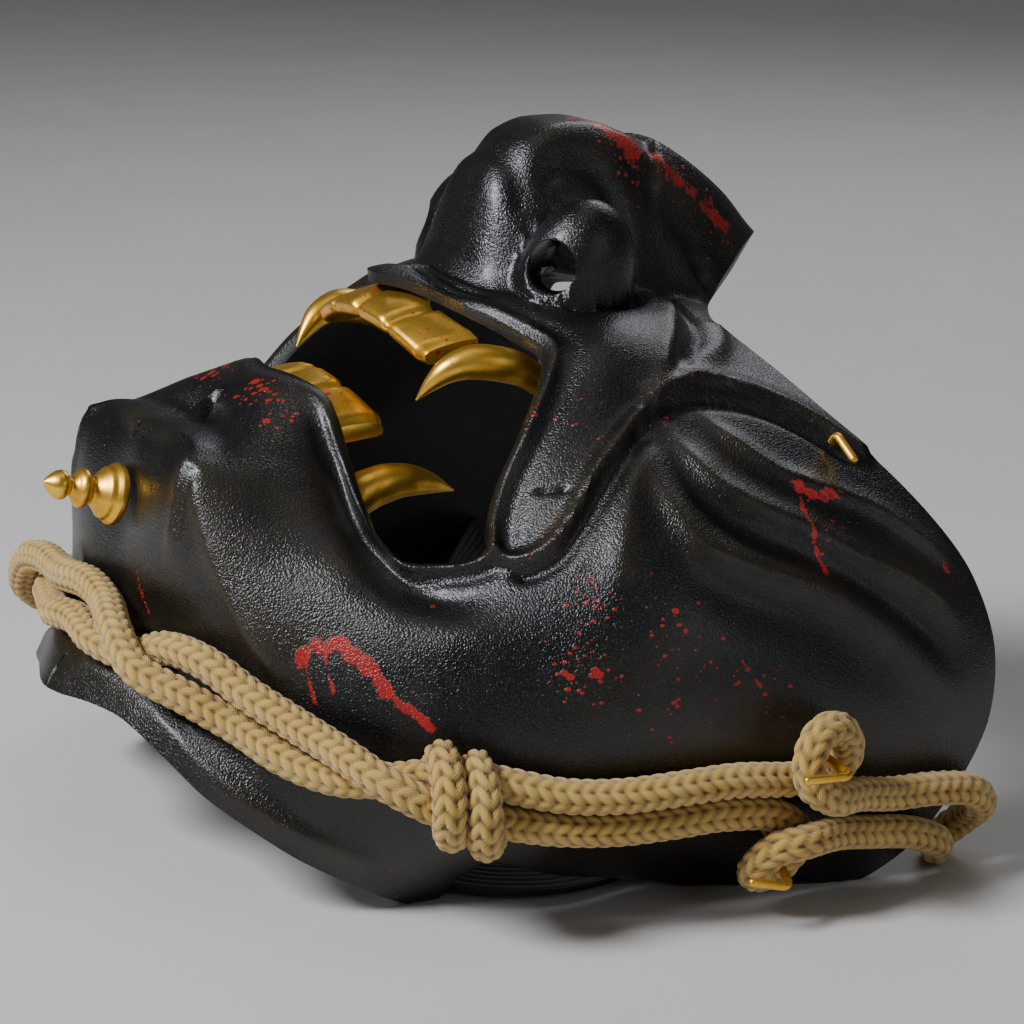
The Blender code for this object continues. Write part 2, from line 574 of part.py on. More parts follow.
def strand(side, loop, end, mirror):
    """Half of one strand: twisted with the other along the jaw, round its own hook, then to the rear edge."""
    table = np.array(STRANDS, float)
    turns = table[:, 2] if mirror > 0 else table[:, 3]
    way, normal = skin_point(table[:, 0], table[:, 1], np.full(len(table), CORD_RADIUS + CORD_CLEAR))
    line = spline(np.column_stack([way, normal, turns]), CORD_TWIST_POINTS)
    way, normal, phase = line[:, :3], line[:, 3:6], np.pi * line[:, 6:]
    along = np.gradient(way, axis=0)
    out = np.cross(along, normal)
    out *= -side / np.linalg.norm(out, axis=1)[:, None]
    lift = side * np.sin(phase) + np.abs(np.sin(phase))
    twisted = way + STRAND_HALF * (out * np.cos(phase) + normal * lift)
    turn = np.linspace(0.0, 2 * np.pi, LOOP_POINTS)
    ring = np.column_stack([
        loop[0] - loop[2] * LOOP_RADIUS[0] * np.cos(turn), loop[1] + LOOP_RADIUS[1] * np.sin(turn),
        LOOP_RISE * smoothstep(0.0, 2 * np.pi, turn),
    ])
    rest = np.vstack([ring, np.array(end, float)])
    tail, _ = skin_point(rest[:, 0], rest[:, 1], CORD_RADIUS + CORD_CLEAR + rest[:, 2] * 2 * CORD_RADIUS)
    return np.vstack([twisted, tail]) * np.array([mirror, 1.0, 1.0])


def cord():
    """One closed loop: both strands on both sides, joined behind each rear edge."""
    turn = np.array(TURN, float)
    bend, _ = skin_point(turn[:, 0], turn[:, 1], CORD_RADIUS + CORD_CLEAR + turn[:, 2] * 2 * CORD_RADIUS)
    halves = []
    for mirror in (1.0, -1.0):
        upper = strand(1.0, LOOP_UPPER, UPPER_END, mirror)
        lower = strand(-1.0, LOOP_LOWER, LOWER_END, mirror)
        halves.append(np.vstack([upper, bend * np.array([mirror, 1.0, 1.0]), lower[::-1]]))
    route = np.vstack([halves[0], halves[1][::-1][1:-1]])
    return add_wire("chin_cord", route, CORD_RADIUS, "cord", 2, cyclic=True)


def strap():
    across, up, bank = STRAP_END
    end = place(across, up, inner(across, up, WALL) - GAP - STRAP_SEAT) / REACH
    path = spline([(*end, bank), *STRAP, (-end[0], end[1], end[2], -bank)], 34)
    centre = path[:, :3] * REACH
    tangents = np.gradient(centre, axis=0)
    tangents /= np.linalg.norm(tangents, axis=1)[:, None]
    rings = []
    for at, along, bank in zip(centre, tangents, np.radians(path[:, 3])):
        flat = np.cross(along, (0.0, 0.0, 1.0))
        flat /= np.linalg.norm(flat)
        raise_ = np.cross(flat, along)
        wide = flat * math.cos(abs(bank)) + raise_ * math.sin(abs(bank))
        thick = np.cross(wide, along)
        half_w, half_t = STRAP_WIDTH / 2, STRAP_THICK / 2
        rings.append([at + wide * half_w * a + thick * half_t * b for a, b in ((1, 1), (-1, 1), (-1, -1), (1, -1))])
    return add_tube("head_strap", rings, "elastic", 30)


def settle(objects):
    """Move everything so that the box round the whole stands centred on the origin at z = 0."""
    bpy.context.view_layer.update()
    graph = bpy.context.evaluated_depsgraph_get()
    low, high = Vector((1e9,) * 3), Vector((-1e9,) * 3)
    for obj in objects:
        mesh = obj.evaluated_get(graph).to_mesh()
        for v in mesh.vertices:
            for k in range(3):
                low[k] = min(low[k], v.co[k])
                high[k] = max(high[k], v.co[k])
        obj.evaluated_get(graph).to_mesh_clear()
    shift = Vector((-(low.x + high.x) / 2, -(low.y + high.y) / 2, -low.z))
    print("size mm", [round(v * 1000, 2) for v in high - low], "shift mm", [round(v * 1000, 3) for v in shift])
    return shift


def main():
    for obj in list(bpy.data.objects):
        bpy.data.objects.remove(obj, do_unlink=True)
    made = [mask_shell(), teeth("upper_teeth", UPPER_TEETH), teeth("lower_teeth", LOWER_TEETH), stud()]
    for side, mirror in (("left", 1.0), ("right", -1.0)):
        made.append(fang("upper_fang_" + side, UPPER_FANG, UPPER_FANG_RADIUS, mirror))
        made.append(fang("lower_fang_" + side, LOWER_FANG, LOWER_FANG_RADIUS, mirror))
        for name, foot, arm, reach in HOOKS:
            made.append(hook(name + "_hook_" + side, foot, arm, reach, mirror))
    made += [cord(), strap()]
    shift = settle(made)
    for obj in bpy.data.objects:
        if obj.type == "CURVE":
            for point in obj.data.splines[0].points:
                point.co = (point.co.x + shift.x, point.co.y + shift.y, point.co.z + shift.z, 1.0)
        else:
            for v in obj.data.vertices:
                v.co += shift


main()
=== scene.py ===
# Face guard lying face up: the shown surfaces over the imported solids, with floor, light and camera.
# Metres. +Z is the worn front, +Y the nose bridge, +X the wearer's left. The mask is drawn as a distance
# from an inner centre: "across" and "up" are degrees away from +Z, towards +X and towards +Y.
import math

import bpy
import numpy as np
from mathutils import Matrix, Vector


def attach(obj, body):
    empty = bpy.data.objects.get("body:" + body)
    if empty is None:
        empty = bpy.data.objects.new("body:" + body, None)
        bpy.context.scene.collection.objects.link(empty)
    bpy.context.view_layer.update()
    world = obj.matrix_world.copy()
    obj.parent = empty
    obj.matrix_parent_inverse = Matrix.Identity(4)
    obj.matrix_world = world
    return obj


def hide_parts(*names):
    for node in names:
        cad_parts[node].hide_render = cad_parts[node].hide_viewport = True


mm = 0.001
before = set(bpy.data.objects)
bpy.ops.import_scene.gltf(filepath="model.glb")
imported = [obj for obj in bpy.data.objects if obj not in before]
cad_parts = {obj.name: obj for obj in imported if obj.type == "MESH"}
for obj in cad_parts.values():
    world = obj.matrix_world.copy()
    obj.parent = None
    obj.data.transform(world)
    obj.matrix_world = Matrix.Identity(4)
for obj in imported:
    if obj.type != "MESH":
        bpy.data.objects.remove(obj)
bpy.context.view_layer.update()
reach = 100 * mm
rowShift = np.array((0.0, 20.478, -1.2)) * mm     # from where the shape is drawn to the part's own frame
centre = np.array((0.0, -12.0, 12.0)) * mm + rowShift
detail = 1.0
print("frame loaded")

cameraSet = {
    "yaw": 28.0, "rise": 15.0, "distance": 620 * mm, "target": (0.0, 20.5 * mm, 53.3 * mm), "lens": 112.35,
    "sensor": 36, "near": 50 * mm,
}


def addCamera(s):
    # The camera stands on a line from its target, turned from +X towards -Y by yaw and raised by rise.
    yaw, rise = math.radians(s["yaw"]), math.radians(s["rise"])
    back = Vector((math.cos(yaw) * math.cos(rise), -math.sin(yaw) * math.cos(rise), math.sin(rise)))
    data = bpy.data.cameras.new("camera")
    data.lens = s["lens"]
    data.sensor_width = s["sensor"]
    data.clip_start = s["near"]
    camera = bpy.data.objects.new("camera", data)
    camera.location = Vector(s["target"]) + back * s["distance"]
    camera.rotation_euler = back.to_track_quat("Z", "Y").to_euler()
    bpy.context.scene.collection.objects.link(camera)
    bpy.context.scene.camera = camera


addCamera(cameraSet)
print("camera placed")


def hermite(t, span, start, startSlope, end, endSlope):
    # Cubic from start to end with the slopes given there, t from 0 to 1 over the span.
    first = (1 + 2 * t) * (1 - t) ** 2 * start + t * (1 - t) ** 2 * span * startSlope
    return first + t * t * (3 - 2 * t) * end + t * t * (t - 1) * span * endSlope


def interval(stops, x):
    # Number of the stop before each x.
    return np.clip(np.searchsorted(stops, x, side="right") - 1, 0, len(stops) - 2)


def unit(vectors):
    return vectors / np.linalg.norm(vectors, axis=-1, keepdims=True)


def walked(path):
    # Length of the way to each point of a path.
    return np.concatenate([[0.0], np.cumsum(np.linalg.norm(np.diff(path, axis=0), axis=1))])


def splineLine(points, samples):
    # Cubic through the points, even in length, with slopes from the neighbours.
    pts = np.array(points, float)
    s = walked(pts[:, :3])
    slope = np.gradient(pts, s, axis=0)
    u = np.linspace(0.0, s[-1], samples)
    i = interval(s, u)
    h = (s[i + 1] - s[i])[:, None]
    t = ((u - s[i]) / h[:, 0])[:, None]
    return hermite(t, h, pts[i], slope[i], pts[i + 1], slope[i + 1])


def ramp(low, high, x):
    # Smooth step from 0 at low to 1 at high.
    t = np.clip((x - low) / (high - low), 0.0, 1.0)
    return t * t * (3 - 2 * t)


def tableCurve(rows, column, x):
    # Monotone cubic through one column of a table against its first column.
    xs = np.array([r[0] for r in rows], float)
    ys = np.array([r[column] for r in rows], float)
    h = np.diff(xs)
    d = np.diff(ys) / h
    m = np.zeros(len(xs))
    both = d[:-1] + d[1:]
    m[1:-1] = np.where(d[:-1] * d[1:] > 0, 2 * d[:-1] * d[1:] / np.where(np.abs(both) > 1e-9, both, 1.0), 0.0)
    x = np.clip(x, xs[0], xs[-1])
    i = interval(xs, x)
    return hermite((x - xs[i]) / h[i], h[i], ys[i], m[i], ys[i + 1], m[i + 1])


def gridQuads(rows, cols, closed=True, start=0):
    # Quads of a grid of rows by cols points, joined round its columns if closed.
    i, j = np.meshgrid(np.arange(rows - 1), np.arange(cols if closed else cols - 1), indexing="ij")
    a = start + i * cols + j
    b = start + i * cols + (j + 1) % cols
    return np.stack([a, b, b + cols, a + cols], -1).reshape(-1, 4)


def addSurface(name, verts, quads, caps, mat, values=None, sharp=50):
    # One closed mesh. It is turned inside out if its signed volume comes out negative.
    verts = np.asarray(verts, float).reshape(-1, 3)
    quads = np.asarray(quads)
    a, b, c, d = (verts[quads[:, k]] for k in range(4))
    volume = (np.cross(a, b) * c).sum() + (np.cross(a, c) * d).sum()
    faces = quads.tolist() + [list(cap) for cap in caps]
    if volume < 0:
        faces = [face[::-1] for face in faces]
    mesh = bpy.data.meshes.new(name)
    mesh.from_pydata(verts.tolist(), [], faces)
    for key, value in (values or {}).items():
        layer = mesh.attributes.new(key, "FLOAT", "POINT")
        layer.data.foreach_set("value", np.asarray(value, np.float32).ravel())
    mesh.shade_smooth()
    mesh.set_sharp_from_angle(angle=math.radians(sharp))
    mesh.materials.append(mat)
    obj = bpy.data.objects.new(name, mesh)
    bpy.context.scene.collection.objects.link(obj)
    return obj


def finish(obj, nodes):
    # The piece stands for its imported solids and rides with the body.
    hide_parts(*nodes)
    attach(obj, "root")


def steadyFrames(path, closed=False):
    # Two directions square to the path, carried along it without turning; a closed path shares out the rest.
    if closed:
        ahead = np.roll(path, -1, axis=0) - np.roll(path, 1, axis=0)
    else:
        ahead = np.gradient(path, axis=0)
    ahead = unit(ahead)
    side = np.cross(ahead[0], (0.1, 0.2, 1.0))
    sides = []
    for along in ahead:
        side = unit(side - along * (side @ along))
        sides.append(side)
    sides = np.array(sides)
    lifts = np.cross(ahead, sides)
    if closed:
        last = sides[-1] - ahead[0] * (sides[-1] @ ahead[0])
        rest = math.atan2(last @ lifts[0], last @ sides[0])
        turn = -rest * np.linspace(0.0, 1.0, len(path))[:, None]
        turned = sides * np.cos(turn) + lifts * np.sin(turn)
        return turned, lifts * np.cos(turn) - sides * np.sin(turn)
    return sides, lifts


def sweepRound(path, radii, sides):
    # Round rings of the given radii square to a path.
    u, v = steadyFrames(path)
    turn = np.linspace(0.0, 2 * np.pi, sides, endpoint=False)[None, :, None]
    r = np.asarray(radii)[:, None, None]
    return path[:, None, :] + r * (u[:, None, :] * np.cos(turn) + v[:, None, :] * np.sin(turn))


def mirrored(points, mirror):
    # The points themselves, or their mirror image on the wearer's other side.
    return points * np.array([mirror, 1.0, 1.0])


def ringCaps(rows, cols):
    # The two end faces of a stack of rings.
    return [list(range(cols))[::-1], list(range((rows - 1) * cols, rows * cols))]


def addTube(name, rings, mat, values=None, sharp=50):
    # A closed skin over rings of points, one row a ring.
    rows, cols = rings.shape[:2]
    return addSurface(name, rings, gridQuads(rows, cols), ringCaps(rows, cols), mat, values, sharp)


def hexColour(text):
    # sRGB hex to linear RGBA.
    parts = [int(text[k:k + 2], 16) / 255 for k in (1, 3, 5)]
    return (*[c / 12.92 if c <= 0.04045 else ((c + 0.055) / 1.055) ** 2.4 for c in parts], 1.0)


def addNode(tree, kind, out, inputs, **settings):
    # One shader node with its own settings. Each input, by name or number, takes a number, a hex colour or
    # the output of another node. The answer is the output asked for.
    made = tree.nodes.new("ShaderNode" + kind)
    for key, value in settings.items():
        setattr(made, key, value)
    for key, value in inputs.items():
        setSocket(tree, made.inputs[key], value)
    return made.outputs[out]


def setSocket(tree, socket, value):
    if isinstance(value, str):
        value = hexColour(value)
    if isinstance(value, (int, float, tuple)):
        socket.default_value = value
    else:
        tree.links.new(value, socket)


def newMaterial(name, patterns):
    # A material, with its Object coordinates and a noise for each pattern: feature width, octaves, roughness.
    mat = bpy.data.materials.new(name)
    mat.use_nodes = True
    tree = mat.node_tree
    place = addNode(tree, "TexCoord", "Object", {})
    fields = {"place": place}
    for key, (size, octaves, rough) in patterns.items():
        inputs = {"Vector": place, "Scale": 1 / size, "Detail": octaves, "Roughness": rough}
        fields[key] = addNode(tree, "TexNoise", "Fac", inputs)
    return mat, tree, fields


def setShader(tree, inputs, bumps):
    # The shader's inputs, and its bumps one on the other: height, strength, distance.
    shader = tree.nodes["Principled BSDF"]
    for key, value in inputs.items():
        setSocket(tree, shader.inputs[key], value)
    below = {}
    for height, strength, distance in bumps:
        inputs = {"Height": height, "Strength": strength, "Distance": distance, **below}
        below = {"Normal": addNode(tree, "Bump", "Normal", inputs)}
    tree.links.new(below["Normal"], shader.inputs["Normal"])


# drops: cell size, radius share; then how easily a cell holds a drop, how uneven and how crisp its edge is;
# strokes: size and depth of the torn edge, where the paint starts, how crisp it is
spatterSet = {
    "drops": ((3.2 * mm, 0.55), (1.8 * mm, 0.66), (1.0 * mm, 0.80)), "stretch": (1.0, 0.8, 1.15),
    "chance": 0.98, "least": 0.02, "uneven": 0.25, "crisp": 14.0, "tear": 2.2 * mm, "tearDepth": 1.3,
    "strokeFrom": 0.66, "strokeCrisp": 9.0, "strokeLeast": 0.03,
}


def spatterMask(tree, place, stain, smear=None, s=spatterSet):
    # Flicked paint: round drops, larger and more with the stain value, and brushed strokes with torn edges.
    stretched = addNode(tree, "Mapping", 0, {"Vector": place, "Scale": s["stretch"]})
    mask = 0.0
    for size, share in s["drops"]:
        far = addNode(tree, "TexVoronoi", "Distance", {"Vector": stretched, "Scale": 1 / size})
        chance = addNode(tree, "SeparateColor", 0, {0: far.node.outputs["Color"]})
        spare = addNode(tree, "Math", 0, {0: chance, 1: stain}, operation="ADD")
        spare = addNode(tree, "Math", 0, {0: spare, 1: s["chance"]}, operation="SUBTRACT")
        inputs = {"Vector": place, "Scale": 2 / size, "Detail": 2, "Roughness": 0.55}
        edge = addNode(tree, "TexNoise", "Fac", inputs)
        edge = addNode(tree, "Math", 0, {0: edge, 1: 0.5}, operation="SUBTRACT")
        edge = addNode(tree, "Math", 0, {0: edge, 1: s["uneven"]}, operation="MULTIPLY")
        inside = addNode(tree, "Math", 0, {0: spare, 1: share, 2: edge}, operation="MULTIPLY_ADD")
        inside = addNode(tree, "Math", 0, {0: inside, 1: far}, operation="SUBTRACT")
        inside = addNode(tree, "Math", 0, {0: inside, 1: s["crisp"]}, operation="MULTIPLY", use_clamp=True)
        held = addNode(tree, "Math", 0, {0: spare, 1: s["least"]}, operation="GREATER_THAN")
        inside = addNode(tree, "Math", 0, {0: inside, 1: held}, operation="MULTIPLY")
        mask = addNode(tree, "Math", 0, {0: mask, 1: inside}, operation="MAXIMUM")
    if smear is None:
        return mask
    inputs = {"Vector": place, "Scale": 1 / s["tear"], "Detail": 5, "Roughness": 0.65}
    torn = addNode(tree, "TexNoise", "Fac", inputs)
    torn = addNode(tree, "Math", 0, {0: torn, 1: 0.5}, operation="SUBTRACT")
    stroke = addNode(tree, "Math", 0, {0: torn, 1: s["tearDepth"], 2: smear}, operation="MULTIPLY_ADD")
    stroke = addNode(tree, "Math", 0, {0: stroke, 1: s["strokeFrom"]}, operation="SUBTRACT")
    stroke = addNode(tree, "Math", 0, {0: stroke, 1: s["strokeCrisp"]}, operation="MULTIPLY", use_clamp=True)
    held = addNode(tree, "Math", 0, {0: smear, 1: s["strokeLeast"]}, operation="GREATER_THAN")
    stroke = addNode(tree, "Math", 0, {0: stroke, 1: held}, operation="MULTIPLY")
    return addNode(tree, "Math", 0, {0: mask, 1: stroke}, operation="MAXIMUM")


lacquerPatterns = {
    "cloud": (26 * mm, 5, 0.6), "speck": (0.5 * mm, 2, 0.55), "paint": (5 * mm, 3, 0.55),
    "sheen": (9 * mm, 4, 0.55), "sand": (0.38 * mm, 1, 0.5), "peel": (1.5 * mm, 2, 0.5),
    "wave": (14 * mm, 3, 0.5),
}


def lacquerMaterial(patterns):
    # Black lacquer sprayed over a sanded cast wall: fine sandy grain, brown rubbed patina, flicked red paint.
    # The inner side is matt, and painted near black as painted shade for the hollow inside.
    mat, tree, fields = newMaterial("sprayed_black_lacquer", patterns)
    crest = addNode(tree, "Attribute", "Fac", {}, attribute_name="crest")
    inner = addNode(tree, "Attribute", "Fac", {}, attribute_name="inner")
    stain = addNode(tree, "Attribute", "Fac", {}, attribute_name="stain")
    smear = addNode(tree, "Attribute", "Fac", {}, attribute_name="smear")
    worn = addNode(tree, "Math", 0, {0: crest, 1: 0.10, 2: fields["cloud"]}, operation="MULTIPLY_ADD")
    worn = addNode(tree, "MapRange", 0, {0: worn, 1: 0.48, 2: 0.72})
    base = addNode(tree, "Mix", 2, {0: worn, 6: "#070707", 7: "#262014"}, data_type="RGBA")
    speck = addNode(tree, "MapRange", 0, {0: fields["speck"], 1: 0.60, 2: 0.74, 4: 0.35})
    base = addNode(tree, "Mix", 2, {0: speck, 6: base, 7: "#4a4238"}, data_type="RGBA")
    # painted shade: the inner skin mixed to near black
    base = addNode(tree, "Mix", 2, {0: inner, 6: base, 7: "#030303"}, data_type="RGBA")
    red = spatterMask(tree, fields["place"], stain, smear)
    paint = addNode(tree, "Mix", 2, {0: fields["paint"], 6: "#7c100d", 7: "#b3221a"}, data_type="RGBA")
    base = addNode(tree, "Mix", 2, {0: red, 6: base, 7: paint}, data_type="RGBA")
    dull = addNode(tree, "MapRange", 0, {0: fields["sheen"], 1: 0.3, 2: 0.7, 3: 0.27, 4: 0.38})
    dull = addNode(tree, "Math", 0, {0: inner, 1: 0.45, 2: dull}, operation="MULTIPLY_ADD", use_clamp=True)
    setShader(tree, {"Base Color": base, "Roughness": dull, "Coat Weight": 0.15, "Coat Roughness": 0.20}, (
        (fields["sand"], 1.0, 0.17 * mm), (fields["peel"], 0.12, 0.20 * mm), (fields["wave"], 0.15, 0.8 * mm),
        (red, 0.5, 0.12 * mm),
    ))
    return mat


giltPatterns = {
    "worn": (5 * mm, 5, 0.65), "pits": (0.9 * mm, 3, 0.55), "grain": (0.7 * mm, 3, 0.55),
    "dents": (3.5 * mm, 3, 0.55),
}


def giltMaterial(name, drops, patterns):
    # Old gold paint burnished over metal: darker where it wore thin, with red drops on the teeth.
    mat, tree, fields = newMaterial(name, patterns)
    worn = addNode(tree, "MapRange", 0, {0: fields["worn"], 1: 0.36, 2: 0.66})
    base = addNode(tree, "Mix", 2, {0: worn, 6: "#ffca52", 7: "#e0a83c"}, data_type="RGBA")
    pits = addNode(tree, "MapRange", 0, {0: fields["pits"], 1: 0.62, 2: 0.76, 4: 0.35})
    base = addNode(tree, "Mix", 2, {0: pits, 6: base, 7: "#8a5a1a"}, data_type="RGBA")
    metal = 0.95
    if drops > 0:
        red = spatterMask(tree, fields["place"], drops)
        base = addNode(tree, "Mix", 2, {0: red, 6: base, 7: "#a81e14"}, data_type="RGBA")
        metal = addNode(tree, "MapRange", 0, {0: red, 3: metal, 4: 0.0})
    dull = addNode(tree, "MapRange", 0, {0: worn, 3: 0.32, 4: 0.44})
    bumps = ((fields["grain"], 0.25, 0.08 * mm), (fields["dents"], 0.25, 0.25 * mm))
    setShader(tree, {"Base Color": base, "Metallic": metal, "Roughness": dull}, bumps)
    return mat


# width in mm of one yarn of a stitch
cordYarn = 0.33
cordPatterns = {"tint": (7 * mm, 3, 0.55), "fuzz": (0.25 * mm, 3, 0.55)}


def cordMaterial(patterns, yarnWidth):
    # Cotton braid: painted highlight, pale, on the stitches' backs and painted shade, brown, between them;
    # fine yarns along each with painted shade between the yarns; a little fuzz.
    mat, tree, fields = newMaterial("braided_cotton", patterns)
    stitch = addNode(tree, "Attribute", "Fac", {}, attribute_name="stitch")
    fibre = addNode(tree, "Attribute", "Fac", {}, attribute_name="fibre")
    # painted highlight on the stitches' backs and painted shade between them, from the stitch height
    high = addNode(tree, "MapRange", 0, {0: stitch, 1: 0.15, 2: 0.9})
    base = addNode(tree, "Mix", 2, {0: high, 6: "#50390f", 7: "#d4a84e"}, data_type="RGBA")
    tint = addNode(tree, "MapRange", 0, {0: fields["tint"], 1: 0.35, 2: 0.7, 4: 0.35})
    base = addNode(tree, "Mix", 2, {0: tint, 6: base, 7: "#ebca7c"}, data_type="RGBA")
    yarn = addNode(tree, "Math", 0, {0: fibre, 1: 2 * math.pi / yarnWidth}, operation="MULTIPLY")
    yarn = addNode(tree, "Math", 0, {0: yarn}, operation="SINE")
    # painted shade in the grooves between the yarns
    between = addNode(tree, "MapRange", 0, {0: yarn, 1: -1.0, 3: 0.22, 4: 0.0})
    base = addNode(tree, "Mix", 2, {0: between, 6: base, 7: "#7d6434"}, data_type="RGBA")
    inputs = {"Base Color": base, "Roughness": 0.85, "Sheen Weight": 0.35, "Sheen Roughness": 0.5}
    setShader(tree, inputs, ((fields["fuzz"], 0.5, 0.08 * mm), (yarn, 0.6, 0.06 * mm)))
    return mat


elasticPatterns = {"weave": (0.3 * mm, 2, 0.55)}


def elasticMaterial(patterns):
    # Woven elastic: black ribs, a little lighter on their tops with painted shade in the valleys between
    # them, and a knitted dot on every stitch painted lighter as a painted highlight.
    mat, tree, fields = newMaterial("woven_elastic", patterns)
    rib = addNode(tree, "Attribute", "Fac", {}, attribute_name="rib")
    # painted shade in the valleys between the ribs, lighter on their tops
    rib = addNode(tree, "MapRange", 0, {0: rib, 1: 0.1, 2: 0.9})
    base = addNode(tree, "Mix", 2, {0: rib, 6: "#050506", 7: "#131417"}, data_type="RGBA")
    dots = addNode(tree, "Attribute", "Fac", {}, attribute_name="dots")
    # painted highlight on the raised knitted dots
    dots = addNode(tree, "MapRange", 0, {0: dots, 1: 0.6, 4: 0.5})
    base = addNode(tree, "Mix", 2, {0: dots, 6: base, 7: "#26272c"}, data_type="RGBA")
    setShader(tree, {"Base Color": base, "Roughness": 0.72}, ((fields["weave"], 0.5, 0.07 * mm),))
    return mat


floorPatterns = {"cloud": (60 * mm, 3, 0.55), "tooth": (0.8 * mm, 3, 0.55)}


def floorMaterial(patterns):
    # Plain pale paper with a fine tooth.
    mat, tree, fields = newMaterial("pale_paper", patterns)
    base = addNode(tree, "Mix", 2, {0: fields["cloud"], 6: "#cfccc6", 7: "#d9d6d0"}, data_type="RGBA")
    setShader(tree, {"Base Color": base, "Roughness": 0.9}, ((fields["tooth"], 0.2, 0.1 * mm),))
    return mat


lacquer = lacquerMaterial(lacquerPatterns)
gilt = giltMaterial("burnished_old_gold", 0.0, giltPatterns)
giltSpattered = giltMaterial("burnished_gold_with_drops", 0.42, giltPatterns)
print("materials made")

# place, degrees across, degrees up, distance from the centre as a share of reach
form = (
    ("bridge end", 0, 35, 0.99), ("bridge side", 13, 29, 0.97), ("cheek edge inner", 19, 24, 0.965),
    ("cheek edge", 26, 27, 0.975), ("cheek edge mid", 39.5, 32.5, 1.03), ("cheek corner", 53, 42, 1.11),
    ("cheek corner low", 58, 45, 1.115), ("rear edge", 69, 50, 1.045), ("rear low", 79, 50, 0.955),
    ("rear foot", 87, 44, 0.91), ("foot", 93, 33, 0.81), ("foot fore", 98, 20, 0.71),
    ("fore low", 97, 1, 0.67), ("strap gap", 93, -17, 0.67), ("notch", 84, -38, 0.665),
    ("collar end", 86, -53, 0.627), ("nose foot", 0, 0, 0.915), ("under nose", 0, 14, 0.94),
    ("lip mid", 0, -11, 0.955), ("lip side", 14, -4, 0.905), ("lip top", 24, -1, 0.895),
    ("rim side", 34, -9, 0.86), ("rim corner", 45, -18, 0.815), ("low rim corner", 43, -25, 0.785),
    ("low rim", 30, -29.6, 0.755), ("low rim near", 19.3, -26.8, 0.785), ("low lip side", 13.6, -24.8, 0.835),
    ("low lip mid", 5.5, -25.8, 0.87), ("low lip", 0, -27, 0.875), ("lip shoulder", 12, -31, 0.87),
    ("low lip front", 0, -33.5, 0.892), ("lip fold", 0, -37.4, 0.862), ("chin top", 0, -43, 0.958),
    ("chin corner", 15.7, -42.3, 0.965), ("chin front", 0, -50, 0.868), ("chin low", 9, -60, 0.825),
    ("groove mid", 0, -66, 0.80), ("collar mid", 0, -75, 0.87), ("jaw ridge up", 25, -48.5, 0.89),
    ("jaw ridge", 35, -51.6, 0.84), ("jaw ridge low", 45, -52, 0.815), ("roll fore", 23.6, -35.4, 0.832),
    ("roll", 36, -36.5, 0.826), ("roll mid", 47.5, -33.5, 0.823), ("roll side", 55.5, -24.7, 0.84),
    ("roll rear", 60, -14.6, 0.866), ("groove fore", 20, -64, 0.78), ("groove near", 41, -60, 0.775),
    ("groove side", 55, -52, 0.79), ("groove rear", 70, -37, 0.80), ("collar fore", 22, -72, 0.835),
    ("collar near", 44, -71, 0.81), ("collar side", 60, -67, 0.755), ("jaw side", 56, -38, 0.83),
    ("jaw rear", 67, -27, 0.833), ("body", 69, -5, 0.895), ("body up", 55, -1, 0.925),
    ("body rear", 70, 18, 0.94), ("body end", 68, 34, 1.0), ("body high", 60, 18, 0.966),
    ("body high rear", 60, 33, 1.02), ("hook height", 84, 24, 0.86), ("fold focus", 36.5, 7, 0.91),
    ("belt", 31, 16, 0.94), ("cheek plate", 27, 5, 0.96), ("body low", 84, 0, 0.82),
    ("body low fore", 82, -20, 0.785),
)

# degrees up, crest height of the nose as a share of its full height, half width in degrees
noseTable = (
    (-3.2, 0, 8), (-1.4, 0.10, 9), (0, 0.38, 10), (1.5, 0.62, 11), (3.4, 0.79, 12), (6.0, 0.92, 12.4),
    (8.5, 0.98, 12.6), (12, 1.0, 12.6), (16, 0.95, 12.2), (22, 0.84, 11.4), (28, 0.69, 11), (33, 0.51, 11),
    (36, 0.44, 11.5),
)

# mouth rim and outer edge met by the same grid line: mouth across, mouth up, edge across, edge up
rimTable = (
    (0, -11, 0, 35), (5, -8.3, 9.8, 28.7), (14, -4, 18.6, 24.2), (20, -1.7, 27, 27.5),
    (23.7, -0.8, 39.5, 32.4), (29, -4.1, 53, 42), (34.2, -9.1, 65, 49), (38.1, -13.6, 79, 50),
    (41.8, -16.8, 91, 38), (45, -18.5, 97.5, 20), (45.2, -21.5, 97, 0), (43.3, -25, 93, -18),
    (39.7, -29.4, 84, -37), (35, -30.2, 86, -53), (30, -29.6, 60, -67), (24.5, -28.4, 40, -71.5),
    (19.3, -26.8, 21, -72.5), (12.5, -24.8, 12, -74), (6, -25.8, 5, -75.2), (0, -26.8, 0, -75.5),
)

